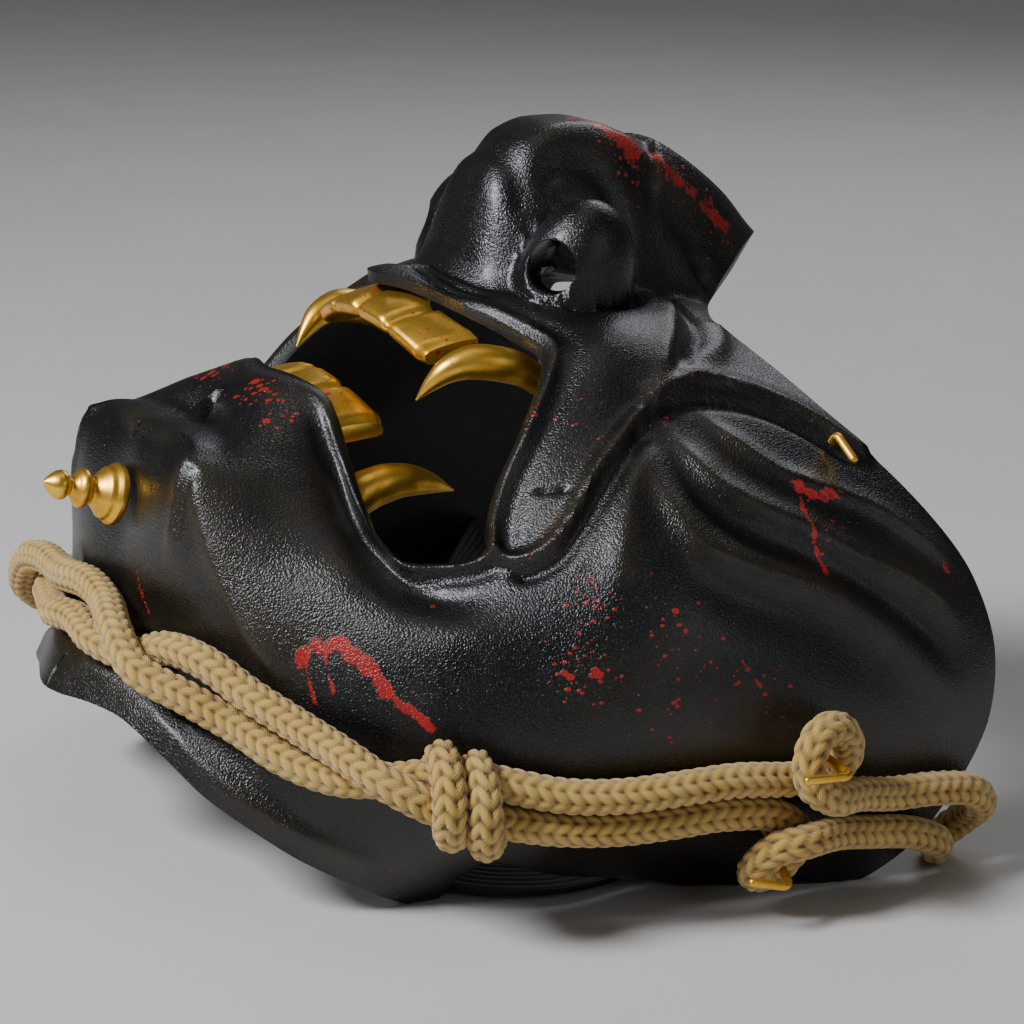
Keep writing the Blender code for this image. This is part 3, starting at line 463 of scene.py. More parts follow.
# relief line, height in mm, width on its left and right in degrees, crispness (2 is round), fade in, fade
# out, (across, up) points
relief = (
    ("lip fold", -3.2, 3.0, 2.6, 1.8, 0.0, 0.5, ((0, -37.6), (7, -37.9), (13, -38.8), (17, -41), (19, -45))),
    ("chin facet", 1.3, 2.6, 1.0, 1.5, 0.0, 0.25,
     ((0, -43), (5.5, -42.5), (14, -42), (15.5, -44), (17.5, -49), (17.5, -55))),
    ("chin crease", -1.2, 0.7, 1.3, 1.6, 0.1, 0.4, ((16.8, -42.6), (18.0, -46), (19.2, -51))),
    ("jaw ridge", 1.5, 4.6, 1.5, 1.4, 0.1, 0.3,
     ((14.5, -42), (19.5, -45), (25, -48.5), (31, -50.5), (38, -52), (45, -52))),
    ("mouth roll", 1.4, 2.8, 5.0, 1.8, 0.2, 0.3,
     ((17, -37), (24, -35.5), (35.5, -36.5), (47.5, -33.5), (55.5, -24.5), (60, -14.5))),
    ("rim groove", -1.5, 1.6, 2.2, 1.8, 0.2, 0.3,
     ((13, -29), (18, -28.6), (30, -32.2), (42, -31.7), (48, -27), (52.5, -17))),
    ("fold upper", 1.9, 2.6, 1.2, 1.4, 0.2, 0.15,
     ((36.5, 8), (41.5, 9), (46.5, 11), (49, 14), (52, 21), (54, 25.5), (56, 34), (60, 42.5))),
    ("fold upper hollow", -1.2, 1.6, 2.2, 2.0, 0.3, 0.2,
     ((40, 6.8), (47, 8.2), (51.5, 12), (55, 20), (57, 27), (60, 36), (64, 44))),
    ("fold middle", 1.5, 1.8, 0.9, 1.4, 0.2, 0.2,
     ((35, 13.5), (38.5, 14.5), (42, 17), (45, 20), (46.5, 24), (48.5, 31), (52, 38), (53.5, 42.5))),
    ("fold lower", 1.9, 3.2, 1.5, 1.4, 0.25, 0.2,
     ((37.5, 6.5), (46, 4), (51, 4.5), (53.5, 5.5), (56.5, 10.5), (59, 22.5), (60.5, 27), (65.5, 40.5),
      (68, 46))),
    ("fold lower hollow", -1.0, 2.0, 3.6, 2.0, 0.3, 0.3,
     ((52, 1.5), (57, 5), (60.5, 13), (63, 24), (67, 36))),
    ("fold fore", 1.5, 2.4, 2.4, 1.7, 0.2, 0.5, ((38.5, 6), (44.5, 1), (51.5, -3), (57.5, -6.5), (62, -9))),
    ("cheek belt", 1.7, 1.6, 0.8, 1.5, 0.1, 0.05,
     ((36.5, 7), (34.5, 8.5), (32.5, 12.5), (31.5, 16), (33, 23), (37, 28.5), (41.5, 32.5))),
    ("belt groove", -1.3, 0.8, 1.0, 1.8, 0.1, 0.1,
     ((37.5, 8), (35.6, 10.5), (34.6, 15), (35.8, 22), (39.4, 27.4), (43, 31))),
    ("cheek lobe", 2.0, 0.9, 0.9, 1.8, 0.02, 0.1,
     ((44.4, -17.2), (45.6, -18.0), (47.0, -17.5), (48.6, -16), (49.2, -14), (48.9, -11.5), (47.0, -8),
      (43.0, -3.5), (39.0, 2), (34.5, 8))),
    ("lobe groove", -1.3, 1.1, 0.8, 1.8, 0.1, 0.1,
     ((49.3, -18), (51.2, -15.5), (51.4, -11.5), (48.6, -6.6), (45.4, -2.4), (41.2, 2.8), (37.4, 6.4))),
    ("lobe slit", -0.9, 0.34, 0.34, 2.0, 0.2, 0.2, ((41.3, -10.4), (42.4, -8.2), (43.6, -5.8))),
    ("cheek crescent", 1.3, 0.8, 2.0, 1.6, 0.3, 0.2,
     ((12, 18.6), (16, 18.8), (23, 16), (29, 12.3), (33, 9.2))),
    ("plate edge", 0.9, 0.9, 1.8, 1.6, 0.1, 0.2, ((19, 24.2), (25, 21.4), (29.5, 16.5), (32, 13))),
    ("plate groove", -1.3, 1.0, 1.0, 1.8, 0.1, 0.2, ((11, 20.6), (17, 21), (24, 18.8), (30.5, 13.2))),
    ("bulb flute", -1.6, 1.1, 1.1, 2.0, 0.45, 0.25, ((0, 3.7), (3, 3.7), (6, 4.0), (8.5, 3.6))),
    ("bulb underside", -0.9, 0.7, 0.7, 2.0, 0.4, 0.4, ((0, 0.2), (3, 0.2), (6, 0.8))),
    ("bridge ridge", 1.1, 0.7, 0.7, 1.8, 0.25, 0.05, ((3, 12.5), (5, 17.5), (6.5, 23.5), (9.5, 28.5))),
    ("bridge ridge side", 1.2, 0.7, 1.0, 1.6, 0.2, 0.1, ((7.6, 18.5), (8.9, 22.5), (11.4, 27.5))),
    ("bridge groove", -1.0, 0.7, 0.7, 1.8, 0.2, 0.05, ((2.6, 16), (4, 20), (5.3, 24.5), (8, 30))),
    ("bridge side groove", -1.3, 0.8, 0.8, 1.8, 0.2, 0.05, ((5.0, 13.5), (6.5, 19), (8.0, 24), (10.4, 28))),
    ("lip wrinkle one", -0.9, 0.6, 0.6, 1.6, 0.1, 0.5, ((0, -4.6), (2.5, -4.5), (8, -3.5), (14, 1))),
    ("lip wrinkle two", -0.9, 0.6, 0.6, 1.6, 0.1, 0.5, ((0, -6.2), (3, -6.1), (8.5, -5.1), (15, -1.3))),
    ("lip wrinkle three", -0.7, 0.5, 0.5, 1.6, 0.1, 0.5, ((0, -3.2), (4, -2.9), (9, -1.4), (13.6, 2.6))),
    ("collar roll", 1.2, 1.4, 3.4, 1.6, 0.0, 0.1,
     ((0, -71.2), (20, -69.2), (41, -68.2), (57, -64), (72, -55))),
)

shellSet = {
    "cols": 520, "rows": 130, "innerRows": 26, "rowBias": 1.12, "stiffness": 30.0, "linePoints": 36,
    "wall": 3.0 * mm, "wallMouth": 2.2 * mm, "wallFade": 6.0, "leastWall": 0.7, "footTrim": 1.2 * mm,
    "noseHeight": 27.5 * mm, "noseHollow": 0.72, "noseInset": 2.4, "ridgeFoot": (0.2, 1.12),
    "wingAt": (12.4, 8.6), "wingHalf": (6.3, 7.2), "wingHeight": 16.6 * mm, "wingPower": 0.70,
    "wingGroove": 2.4 * mm, "wingGrooveAt": 1.02, "wingGrooveWidth": 0.13, "wingGrooveFade": (4.0, 8.0),
    "bead": 1.5 * mm, "beadInset": 1.0, "beadWidth": 0.85, "hollowInset": 3.4, "hollowWidth": 0.9,
    "hollowShare": 0.3, "lipHalf": 13.0, "lowerLipUnder": -20, "lipRound": 1.8 * mm, "lipRoundWidth": 1.8,
    "plateFrom": 18.6, "plateStep": 0.8, "plateHalf": 8.0, "plateSlope": 2.2, "plateHeight": 1.6 * mm,
}
nostrilSet = {
    "at": (12.4, 6.9), "far": 0.985, "axis": (-0.64, 0.76, 0.02), "radius": 4.9 * mm, "outside": 13 * mm,
    "inside": 8 * mm, "rings": 6, "sides": 40,
}


def bendEnergy(squared):
    # Bend of a thin plate at a squared distance from where it is pushed.
    return 0.5 * squared * np.log(np.maximum(squared, 1e-12))


def fitForm(s):
    # Weights of the smooth thin plate through the form table and its mirror image.
    table = np.array([r[1:] for r in form] + [(-r[1], r[2], r[3]) for r in form if r[1] > 0], float)
    count = len(table)
    squared = ((table[:, None, :2] - table[None, :, :2]) ** 2).sum(-1)
    system = np.zeros((count + 3, count + 3))
    system[:count, :count] = bendEnergy(squared) + s["stiffness"] * np.eye(count)
    system[:count, count] = 1.0
    system[:count, count + 1:] = table[:, :2]
    system[count:, :count] = system[:count, count:].T
    return table, np.linalg.solve(system, np.concatenate([table[:, 2], np.zeros(3)]))


formPlaces, formWeights = fitForm(shellSet)


def plainForm(across, up):
    # Distance of the plain face from the centre: a plane plus a bend about each place of the table.
    out = formWeights[-3] + formWeights[-2] * across + formWeights[-1] * up
    for at, weight in zip(formPlaces, formWeights):
        out = out + weight * bendEnergy((across - at[0]) ** 2 + (up - at[1]) ** 2)
    return out * reach


def noseForm(s, across, up, shrink=0.0, share=1.0):
    # A ridge along the middle with a steep foot, and a round wing each side, whichever is higher.
    height = tableCurve(noseTable, 1, up) * s["noseHeight"]
    width = tableCurve(noseTable, 2, up) - shrink
    ridge = height * (1 - ramp(*s["ridgeFoot"], np.abs(across) / width))
    wingAcross = (np.abs(across) - s["wingAt"][0]) / (s["wingHalf"][0] - shrink)
    wingFar = np.hypot(wingAcross, (up - s["wingAt"][1]) / (s["wingHalf"][1] - shrink))
    dome = s["wingHeight"] * np.clip(1 - wingFar ** 2, 0.0, 1.0) ** s["wingPower"]
    return share * np.maximum(ridge, dome), wingFar


def lineRelief(across, up, row):
    # Height over a line: exp(-(distance / width) ** crispness), with its own width each side, faded at both
    # ends.
    _, height, left, right, crisp, fadeIn, fadeOut, points = row
    path = splineLine([(a, b, 0.0) for a, b in points], shellSet["linePoints"])[:, :2]
    best = np.full(np.shape(across), 1e9)
    side = np.zeros(np.shape(across))
    along = np.zeros(np.shape(across))
    ax = np.abs(across)
    for k in range(len(path) - 1):
        seg = path[k + 1] - path[k]
        t = np.clip(((ax - path[k, 0]) * seg[0] + (up - path[k, 1]) * seg[1]) / (seg @ seg), 0.0, 1.0)
        dx = ax - path[k, 0] - t * seg[0]
        dy = up - path[k, 1] - t * seg[1]
        far = dx * dx + dy * dy
        near = far < best
        best = np.where(near, far, best)
        side = np.where(near, seg[0] * dy - seg[1] * dx, side)
        along = np.where(near, (k + t) / (len(path) - 1), along)
    width = np.where(side > 0, left, right)
    fade = ramp(0.0, fadeIn + 1e-6, along) * ramp(0.0, fadeOut + 1e-6, 1 - along)
    return height * mm * np.exp(-(np.sqrt(best) / width) ** crisp) * fade


def direction(across, up):
    # Unit vector for a place in degrees: how far it lies from (0, 0) is its angle away from +Z.
    away = np.radians(np.hypot(across, up))
    turn = np.arctan2(up, across)
    return np.stack([np.sin(away) * np.cos(turn), np.sin(away) * np.sin(turn), np.cos(away)], -1)


def place(across, up, distance):
    # A point at a distance from the centre.
    return centre + direction(across, up) * np.asarray(distance)[..., None]


# how much the outer edge counts in the spacing of the lines, and how freely it curves
rimSet = {"edgeWeight": 0.7, "edgeEase": 0.6}


def rimLines(r, cols):
    # Mouth rim and outer edge points of each grid line: curves through the rim table, all round.
    near = np.array(rimTable, float)
    loop = np.vstack([near, near[-2:0:-1] * np.array([-1.0, 1.0, -1.0, 1.0]), near[:1]])
    legs = np.hypot(*np.diff(loop[:, :2], axis=0).T)
    legs = legs + r["edgeWeight"] * np.hypot(*np.diff(loop[:, 2:], axis=0).T)
    s = np.concatenate([[0.0], np.cumsum(legs)])
    sExt = np.concatenate([s[-3:-1] - s[-1], s, s[1:3] + s[-1]])
    u = np.linspace(0.0, s[-1], cols, endpoint=False)
    i = interval(sExt, u)
    h = sExt[i + 1] - sExt[i]
    t = (u - sExt[i]) / h
    out = []
    for k, ease in enumerate((1.0, 1.0, r["edgeEase"], r["edgeEase"])):
        ext = np.concatenate([loop[-3:-1, k], loop[:, k], loop[1:3, k]])
        m = np.gradient(ext, sExt) * ease
        out.append(hermite(t, h, ext[i], m[i], ext[i + 1], m[i + 1]))
    return np.stack(out, 1)


# stains nearer the middle than this are alike on both sides, the others weaker on the right; points of a
# stroke's path, and how many half widths out it fades to nothing
paintSet = {"middle": 20, "rightShare": 0.45, "linePoints": 30, "fade": 2.2}
# red paint: across, up, half width across and up in degrees, strength
stainTable = (
    (5, 15, 3, 3, 0.75), (4, 22, 3, 5, 0.6), (6, 28, 4, 4, 0.5), (7, -31, 6, 4, 0.80),
    (13.5, -31, 4, 4, 0.66), (12, -59, 2.5, 2, 0.5), (57, -9, 5, 6, 0.66), (64, -13, 6, 7, 0.66),
    (62, 0, 6, 6, 0.60), (66, 7, 6, 6, 0.62), (71, -2, 5, 7, 0.56), (70, 14, 5, 5, 0.52),
    (50, 24, 4, 5, 0.52), (55, 22, 3, 3, 0.55), (43, -48, 6, 5, 0.45), (33, -2, 6, 7, 0.46),
    (37, 9, 4, 4, 0.56), (31, 15, 3, 3, 0.48), (48, -12, 6, 5, 0.5), (40, 2, 4, 4, 0.5), (24, 22, 4, 3, 0.36),
    (76, -56, 6, 4, 0.42), (10, -47, 6, 4, 0.30), (48, -30, 8, 6, 0.28),
)
# brushed strokes: half width in degrees, (across, up) points
smearTable = (
    (1.3, ((42.5, -47.5), (42.8, -45.6), (44.5, -43.0), (47.0, -41.1), (50.0, -40.4))),
    (1.5, ((46.5, -41.6), (50.0, -40.2), (53.5, -39.6))),
    (0.8, ((53.0, -39.6), (56.5, -38.4), (61.5, -35.6))),
    (0.5, ((42.5, -46.5), (44.5, -47.8), (48.0, -49.2))), (0.4, ((44.5, -44), (47, -45.4), (49.5, -46.3))),
    (0.8, ((46.5, 21.2), (47.6, 23.2), (47.4, 26.0))),
    (0.45, ((47.5, 22.0), (49.5, 21.0), (52.5, 21.2), (56.5, 22.8))),
    (1.2, ((0.5, 11.5), (3.5, 13.5), (4.5, 16.5))),
    (0.7, ((3.0, 17.5), (5.0, 19.5), (5.4, 25.0), (6.0, 28.5))), (0.5, ((25.5, 25.0), (26.5, 25.2))),
    (0.35, ((52.5, 37.5), (53.5, 38.2))), (0.35, ((9.5, -57.2), (12.0, -59.0), (14.5, -60.4))),
    (0.35, ((66.5, 9), (68.5, 10.5), (69.5, 13))),
)


def fineForm(s, across, up, lines, fromRim, wingFar):
    # Relief lines, the plate on the bridge, a groove round each wing, a bead and a hollow along the mouth
    # rim, and the rounded lower lip.
    plate = s["plateHeight"] * ramp(s["plateFrom"], s["plateFrom"] + s["plateStep"], up)
    plate = plate * (1 - ramp(s["plateHalf"] - s["plateSlope"], s["plateHalf"], np.abs(across)))
    ring = np.exp(-((wingFar - s["wingGrooveAt"]) / s["wingGrooveWidth"]) ** 2)
    ring = ring * ramp(*s["wingGrooveFade"], up)
    fine = sum(lineRelief(across, up, row) for row in relief)
    fine = fine + plate - s["wingGroove"] * ring
    middle = np.exp(-(lines[None, :, 0] / s["lipHalf"]) ** 4)
    bead = s["bead"] * (1 - middle)
    fine = fine + bead * np.exp(-((fromRim - s["beadInset"]) / s["beadWidth"]) ** 2)
    fine = fine - s["hollowShare"] * bead * np.exp(-((fromRim - s["hollowInset"]) / s["hollowWidth"]) ** 2)
    lowerLip = middle * (lines[None, :, 1] < s["lowerLipUnder"])
    return fine - s["lipRound"] * lowerLip * np.exp(-(fromRim / s["lipRoundWidth"]) ** 2)


def paintPlaces(s, across, up):
    # How strongly each place was flicked and brushed with red. Away from the middle, the right side has less.
    stain = np.zeros(up.shape)
    for a, b, wide, high, strength in stainTable:
        share = 1.0 if a < s["middle"] else np.where(across > 0, 1.0, s["rightShare"])
        near = np.exp(-(((np.abs(across) - a) / wide) ** 2 + ((up - b) / high) ** 2))
        stain = np.maximum(stain, strength * share * near)
    smear = np.zeros(up.shape)
    for half, points in smearTable:
        path = splineLine([(a, b, 0.0) for a, b in points], s["linePoints"])[:, :2]
        far = np.min(np.hypot(across[..., None] - path[:, 0], up[..., None] - path[:, 1]), -1)
        smear = np.maximum(smear, np.clip(1 - far / (s["fade"] * half), 0.0, 1.0))
    return stain, smear


def maskShell(s):
    # Outer skin on lines from the mouth rim to the outer edge, an inner skin a wall below, rims joined.
    cols = int(s["cols"] * (0.6 + 0.4 * detail))
    rows, inRows = int(s["rows"] * detail), s["innerRows"]
    lines = rimLines(rimSet, cols)
    skins = []
    for count in (rows, inRows):
        t = (np.linspace(0.0, 1.0, count) ** s["rowBias"])[:, None]
        across = lines[None, :, 0] * (1 - t) + lines[None, :, 2] * t
        up = lines[None, :, 1] * (1 - t) + lines[None, :, 3] * t
        fromRim = np.hypot(across - lines[None, :, 0], up - lines[None, :, 1])
        rise, wingFar = noseForm(s, across, up)
        fine = fineForm(s, across, up, lines, fromRim, wingFar)
        top = plainForm(across, up) + rise + fine
        if not skins:
            skin = place(across, up, top)
            crest = fine / mm
            stain, smear = paintPlaces(paintSet, across, up)
        else:
            wall = s["wallMouth"] + (s["wall"] - s["wallMouth"]) * ramp(0.0, s["wallFade"], fromRim)
            hollow, _ = noseForm(s, across, up, s["noseInset"], s["noseHollow"])
            under = np.minimum(plainForm(across, up) - wall + hollow, top - s["leastWall"] * wall)
            skin = place(across, up, under)
        skin[..., 2] = np.maximum(skin[..., 2], s["footTrim"] + rowShift[2])
        skins.append(skin)
    verts = np.concatenate([skins[0].reshape(-1, 3), skins[1].reshape(-1, 3)])
    outCount = rows * cols
    quads = [gridQuads(rows, cols), gridQuads(inRows, cols, start=outCount)[:, ::-1]]
    a = np.arange(cols)
    b = (a + 1) % cols
    quads.append(np.stack([b, a, a + outCount, b + outCount], -1))
    lastOut, lastIn = (rows - 1) * cols, outCount + (inRows - 1) * cols
    quads.append(np.stack([a + lastOut, b + lastOut, b + lastIn, a + lastIn], -1))
    pad = np.zeros(inRows * cols)
    values = {"crest": crest, "stain": stain, "smear": smear}
    values = {key: np.concatenate([value.ravel(), pad]) for key, value in values.items()}
    # 1 on the inner skin, where the lacquer is painted near black as painted shade
    values["inner"] = np.concatenate([np.zeros(outCount), pad + 1])
    return addSurface("mask_shell_lacquered", verts, np.concatenate(quads), [], lacquer, values, 55)


def cutNostril(mask, s, side):
    # A short round bar, cut out of the mask's wall and then thrown away.
    axis = mirrored(unit(np.array(s["axis"])), side)
    across, up = np.array(s["at"][0] * side), np.array(s["at"][1])
    at = place(across, up, s["far"] * reach)
    along = np.linspace(-s["outside"], s["inside"], s["rings"])[:, None] * axis + at
    cutter = addTube("nostril_cut", sweepRound(along, np.full(s["rings"], s["radius"]), s["sides"]), lacquer)
    cut = mask.modifiers.new("nostril", "BOOLEAN")
    cut.object = cutter
    cut.operation = "DIFFERENCE"
    cut.solver = "EXACT"
    return cutter


def settleModifiers(obj, cutters):
    # The cut mesh takes the place of the drawn one.
    bpy.context.view_layer.update()
    shown = obj.evaluated_get(bpy.context.evaluated_depsgraph_get())
    mesh = bpy.data.meshes.new_from_object(shown)
    obj.modifiers.clear()
    obj.data = mesh
    for cutter in cutters:
        bpy.data.objects.remove(cutter, do_unlink=True)


mask = maskShell(shellSet)
settleModifiers(mask, [cutNostril(mask, nostrilSet, side) for side in (1, -1)])
finish(mask, ["mask_shell"])
print("mask made")

# tooth edges in degrees across; root and tip in degrees up and distance of the tip as a share of reach over
# the wall, each at the middle and at the ends of the row
upperTeethSet = {
    "edges": (-15, -7.5, 0, 7.5, 15), "root": (-7.6, -4.6), "tip": (-13.8, -12.6), "far": (0.929, 0.899),
}
lowerTeethSet = {
    "edges": (-14.6, -6.8, 0, 6.8, 14.6), "root": (-28.4, -27.6), "tip": (-20.8, -18.8),
    "far": (0.849, 0.789),
}
# section of a tooth: share of the way from root to tip, depth as a share of its thickness
toothSection = (
    (0.0, 0.0), (0.25, -0.03), (0.5, -0.045), (0.75, -0.02), (0.9, 0.05), (0.97, 0.14), (1.0, 0.28),
    (1.0, 0.62), (0.96, 0.80), (0.86, 0.90), (0.6, 0.96), (0.3, 0.99), (0.0, 1.0),
)
toothSet = {
    "thick": 4 * mm, "groove": 1.1 * mm, "grooveWidth": 0.10, "tipNotch": 0.05, "endFade": 1.4,
    "endGroove": 0.5, "endNotch": 1.6, "points": 161,
}
# what seats inside stands this far off the inner skin
seatGap = 0.3 * mm

# from the hidden root to the tip: across, up, distance as a share of reach over the wall, radius share; in
# the first row, the distance is how far the root's middle stays under the inner skin
upperFang = (
    (23.4, 6.8, 0.009, 0.62), (22.6, 4.1, 0.826, 0.70), (21.8, 1.0, 0.847, 0.79), (21.0, -1.6, 0.869, 0.91),
    (20.6, -5.1, 0.889, 1.0), (19.7, -8.2, 0.894, 0.94), (19.3, -11.0, 0.886, 0.73),
    (19.1, -13.4, 0.866, 0.42), (19.0, -15.6, 0.843, 0.05),
)
lowerFang = (
    (21.2, -33.6, 0.02, 0.3), (21.0, -32.2, 0.765, 0.62), (20.9, -29.8, 0.724, 0.90),
    (20.7, -27.2, 0.724, 1.0), (20.7, -24.1, 0.717, 0.95), (20.9, -20.8, 0.704, 0.84),
    (21.3, -16.6, 0.676, 0.58), (21.9, -11.8, 0.639, 0.05),
)
fangSet = {
    "rings": 60, "sides": 36, "upperRadius": 3.3 * mm, "lowerRadius": 3.8 * mm, "ripple": 0.012,
    "rippleTurns": 38.0,
}


def innerAt(across, up):
    # Distance of the plain inner skin, less the gap to what seats on it.
    hollow, _ = noseForm(shellSet, across, up, shellSet["noseInset"], shellSet["noseHollow"])
    return plainForm(across, up) - shellSet["wall"] + hollow - seatGap


def toothRow(name, row, s):
    # A bowed bar: the section is carried across, pinched by a groove exp(-(x/width)^2) between two teeth.
    edges = np.array(row["edges"], float)
    half = edges[-1]
    across = np.linspace(-half, half, s["points"])
    toEdge = np.min(np.abs(across[:, None] - edges[None, 1:-1]), 1) / (edges[2] - edges[1])
    pinch = np.exp(-(toEdge / s["grooveWidth"]) ** 2)
    endPinch = ramp(half - s["endFade"], half, np.abs(across))
    side = (across / half) ** 2
    root, tip, far = (row[key][0] + (row[key][1] - row[key][0]) * side for key in ("root", "tip", "far"))
    v = np.array([p[0] for p in toothSection])[None, :]
    deep = np.array([p[1] for p in toothSection])[None, :]
    cut = s["groove"] * (pinch + s["endGroove"] * endPinch)[:, None]
    notch = 1 - s["tipNotch"] * (pinch + s["endNotch"] * endPinch)[:, None]
    up = root[:, None] + (tip - root)[:, None] * v * notch
    farRoot = innerAt(across, root)
    farTip = far * reach - shellSet["wall"] - seatGap
    distance = farRoot[:, None] + (farTip - farRoot)[:, None] * v
    front = np.clip(1 - deep / 0.5, 0.0, 1.0)
    distance = distance - deep * s["thick"] - front * cut
    return addTube(name, place(across[:, None] * np.ones_like(v), up, distance), giltSpattered, sharp=60)


def fangHorn(name, table, radius, s, mirror):
    # Round rings along the fang's path, swelling and tapering to a blunt point, with faint growth rings.
    rows = np.array(table, float)
    distance = rows[:, 2] * reach - shellSet["wall"] - seatGap
    distance[0] = innerAt(rows[0, 0], rows[0, 1]) - rows[0, 2] * reach
    middle = place(rows[:, 0], rows[:, 1], distance)
    path = splineLine(np.column_stack([middle, rows[:, 3] * radius]), s["rings"])
    way = np.linspace(0, 1, s["rings"])
    ripple = 1 + s["ripple"] * np.sin(s["rippleTurns"] * way) * ramp(1, 0.6, way)
    return addTube(name, mirrored(sweepRound(path[:, :3], path[:, 3] * ripple, s["sides"]), mirror), gilt)


# stud profile: distance along its axis and radius, as shares of its length and foot radius
studProfile = (
    (0, 0.88), (0.02, 0.97), (0.045, 1.0), (0.09, 0.99), (0.12, 0.94), (0.16, 0.86), (0.21, 0.82),
    (0.25, 0.72), (0.31, 0.56), (0.36, 0.43), (0.39, 0.41), (0.43, 0.53), (0.47, 0.61), (0.51, 0.62),
    (0.55, 0.56), (0.60, 0.38), (0.66, 0.29), (0.69, 0.36), (0.73, 0.45), (0.78, 0.47), (0.83, 0.44),
    (0.88, 0.36), (0.93, 0.24), (0.97, 0.13), (1.0, 0.03),
)
studSet = {
    "length": 14.9 * mm, "radius": 5.8 * mm, "up": -50.6, "tilt": math.radians(16.4), "seat": 1.3 * mm,
    "sides": 64, "rings": 120,
}


def chinStud(s):
    # Turned profile: radius read from the table along the axis.
    axis = np.array((0, -math.cos(s["tilt"]), math.sin(s["tilt"])))
    foot = place(np.array(0.0), np.array(s["up"]), plainForm(0.0, s["up"]))
    t = np.linspace(0.0, 1.0, s["rings"])
    radius = tableCurve(studProfile, 1, t) * s["radius"]
    path = foot + axis * (t[:, None] * s["length"] + s["seat"])
    rings = sweepRound(path, radius, s["sides"])
    return addTube("chin_stud_turned", rings, gilt, sharp=40)


finish(toothRow("upper_teeth_row", upperTeethSet, toothSet), ["upper_teeth"])
finish(toothRow("lower_teeth_row", lowerTeethSet, toothSet), ["lower_teeth"])
for side, mirror in (("left", 1.0), ("right", -1.0)):
    for row, table in (("upper", upperFang), ("lower", lowerFang)):
        horn = fangHorn("fang_" + row + "_" + side, table, fangSet[row + "Radius"], fangSet, mirror)
        finish(horn, [row + "_fang_" + side])
finish(chinStud(studSet), ["chin_stud"])
print("teeth, fangs and stud made")

# name, foot and arm in degrees (across, up), reach share
hookTable = (
    ("upper", (74.6, 20.5), (1.0, -7.5), 1.0), ("lower", (85.0, 19.5), (0.0, -8.0), 1.0),
    ("edge", (40.0, 28.5), (3.6, 0.6), 0.16),
)
# tip: shares of the wire's radius, how far past the arm and how wide
hookSet = {
    "wire": 0.8 * mm, "reach": 15.4 * mm, "bend": 1.6 * mm, "foot": 0.45 * mm, "sides": 20,
    "tip": ((0.30, 0.94), (0.55, 0.80), (0.75, 0.58), (0.90, 0.25)), "bendShare": 0.4,
    "stemPoints": 10, "bendPoints": 14, "armPoints": 12,
}


def skinPoint(across, up, lift):
    # A place a little off the plain skin, along its normal from two half degree steps.
    def height(a, b):
        return place(a, b, plainForm(a, b) + noseForm(shellSet, a, b)[0])
    here = height(across, up)
    normal = unit(np.cross(height(across + 0.5, up) - here, height(across, up + 0.5) - here))
    return here + normal * np.asarray(lift)[..., None], normal


def wireHook(label, foot, arm, share, s, mirror):
    # A stem off the skin, a round bend, an arm along the skin, and a rounded end.
    rise = sum(float(lineRelief(foot[0], foot[1], row)) for row in relief)
    at, normal = skinPoint(np.array(foot[0]), np.array(foot[1]), max(rise, 0.0))
    end, _ = skinPoint(np.array(foot[0] + arm[0]), np.array(foot[1] + arm[1]), 0.0)
    stem = at + normal * s["reach"] * share
    along = end - at
    span = np.linalg.norm(along)
    along = unit(along - normal * (along @ normal))
    turn = min(s["bend"], s["bendShare"] * s["reach"] * share)
    arc = np.linspace(0, np.pi / 2, s["bendPoints"])[:, None]
    bendLine = stem - normal * turn + along * turn + turn * (normal * np.sin(arc) - along * np.cos(arc))
    stemLine = np.linspace(at + normal * s["foot"], stem - normal * turn, s["stemPoints"])[:-1]
    armEnd = stem + along * (span - 0.4 * s["wire"])
    armLine = np.linspace(stem + along * turn, armEnd, s["armPoints"])[1:]
    past, wide = np.array(s["tip"]).T * s["wire"]
    path = np.vstack([stemLine, bendLine, armLine, armLine[-1] + along * past[:, None]])
    radii = np.full(len(path), s["wire"])
    radii[-len(wide):] = wide
    return addTube("wire_" + label, mirrored(sweepRound(path, radii, s["sides"]), mirror), gilt)


for side, mirror in (("left", 1.0), ("right", -1.0)):
    for label, foot, arm, share in hookTable:
        made = wireHook(label + "_" + side, foot, arm, share, hookSet, mirror)
        finish(made, [label + "_hook_" + side])
print("hooks made")

# middle line of the two strands from the chin to the hooks: across, up, half turns of the twist on the left
# side and on the right
strandTable = (
    (0, -64.0, 0.0, 0.0), (10, -64.4, 0.05, 0.0), (18, -63.0, 0.35, 0.0), (25, -60.8, 0.65, 0.05),
    (32, -59.2, 0.9, 0.2), (39, -57.4, 1.0, 0.45), (47, -54.8, 1.0, 0.75), (53, -51.5, 1.05, 0.95),
    (58, -47.4, 1.2, 1.1), (62.5, -42.4, 1.4, 1.35), (66.5, -37.4, 1.65, 1.6), (71, -31.4, 1.9, 1.9),
    (75.5, -24.5, 2.0, 2.0), (78.4, -16.5, 2.0, 2.0), (80.0, -8.0, 2.0, 2.0), (80.2, 1.0, 2.0, 2.0),
    (80.0, 7.0, 2.0, 2.0),
)
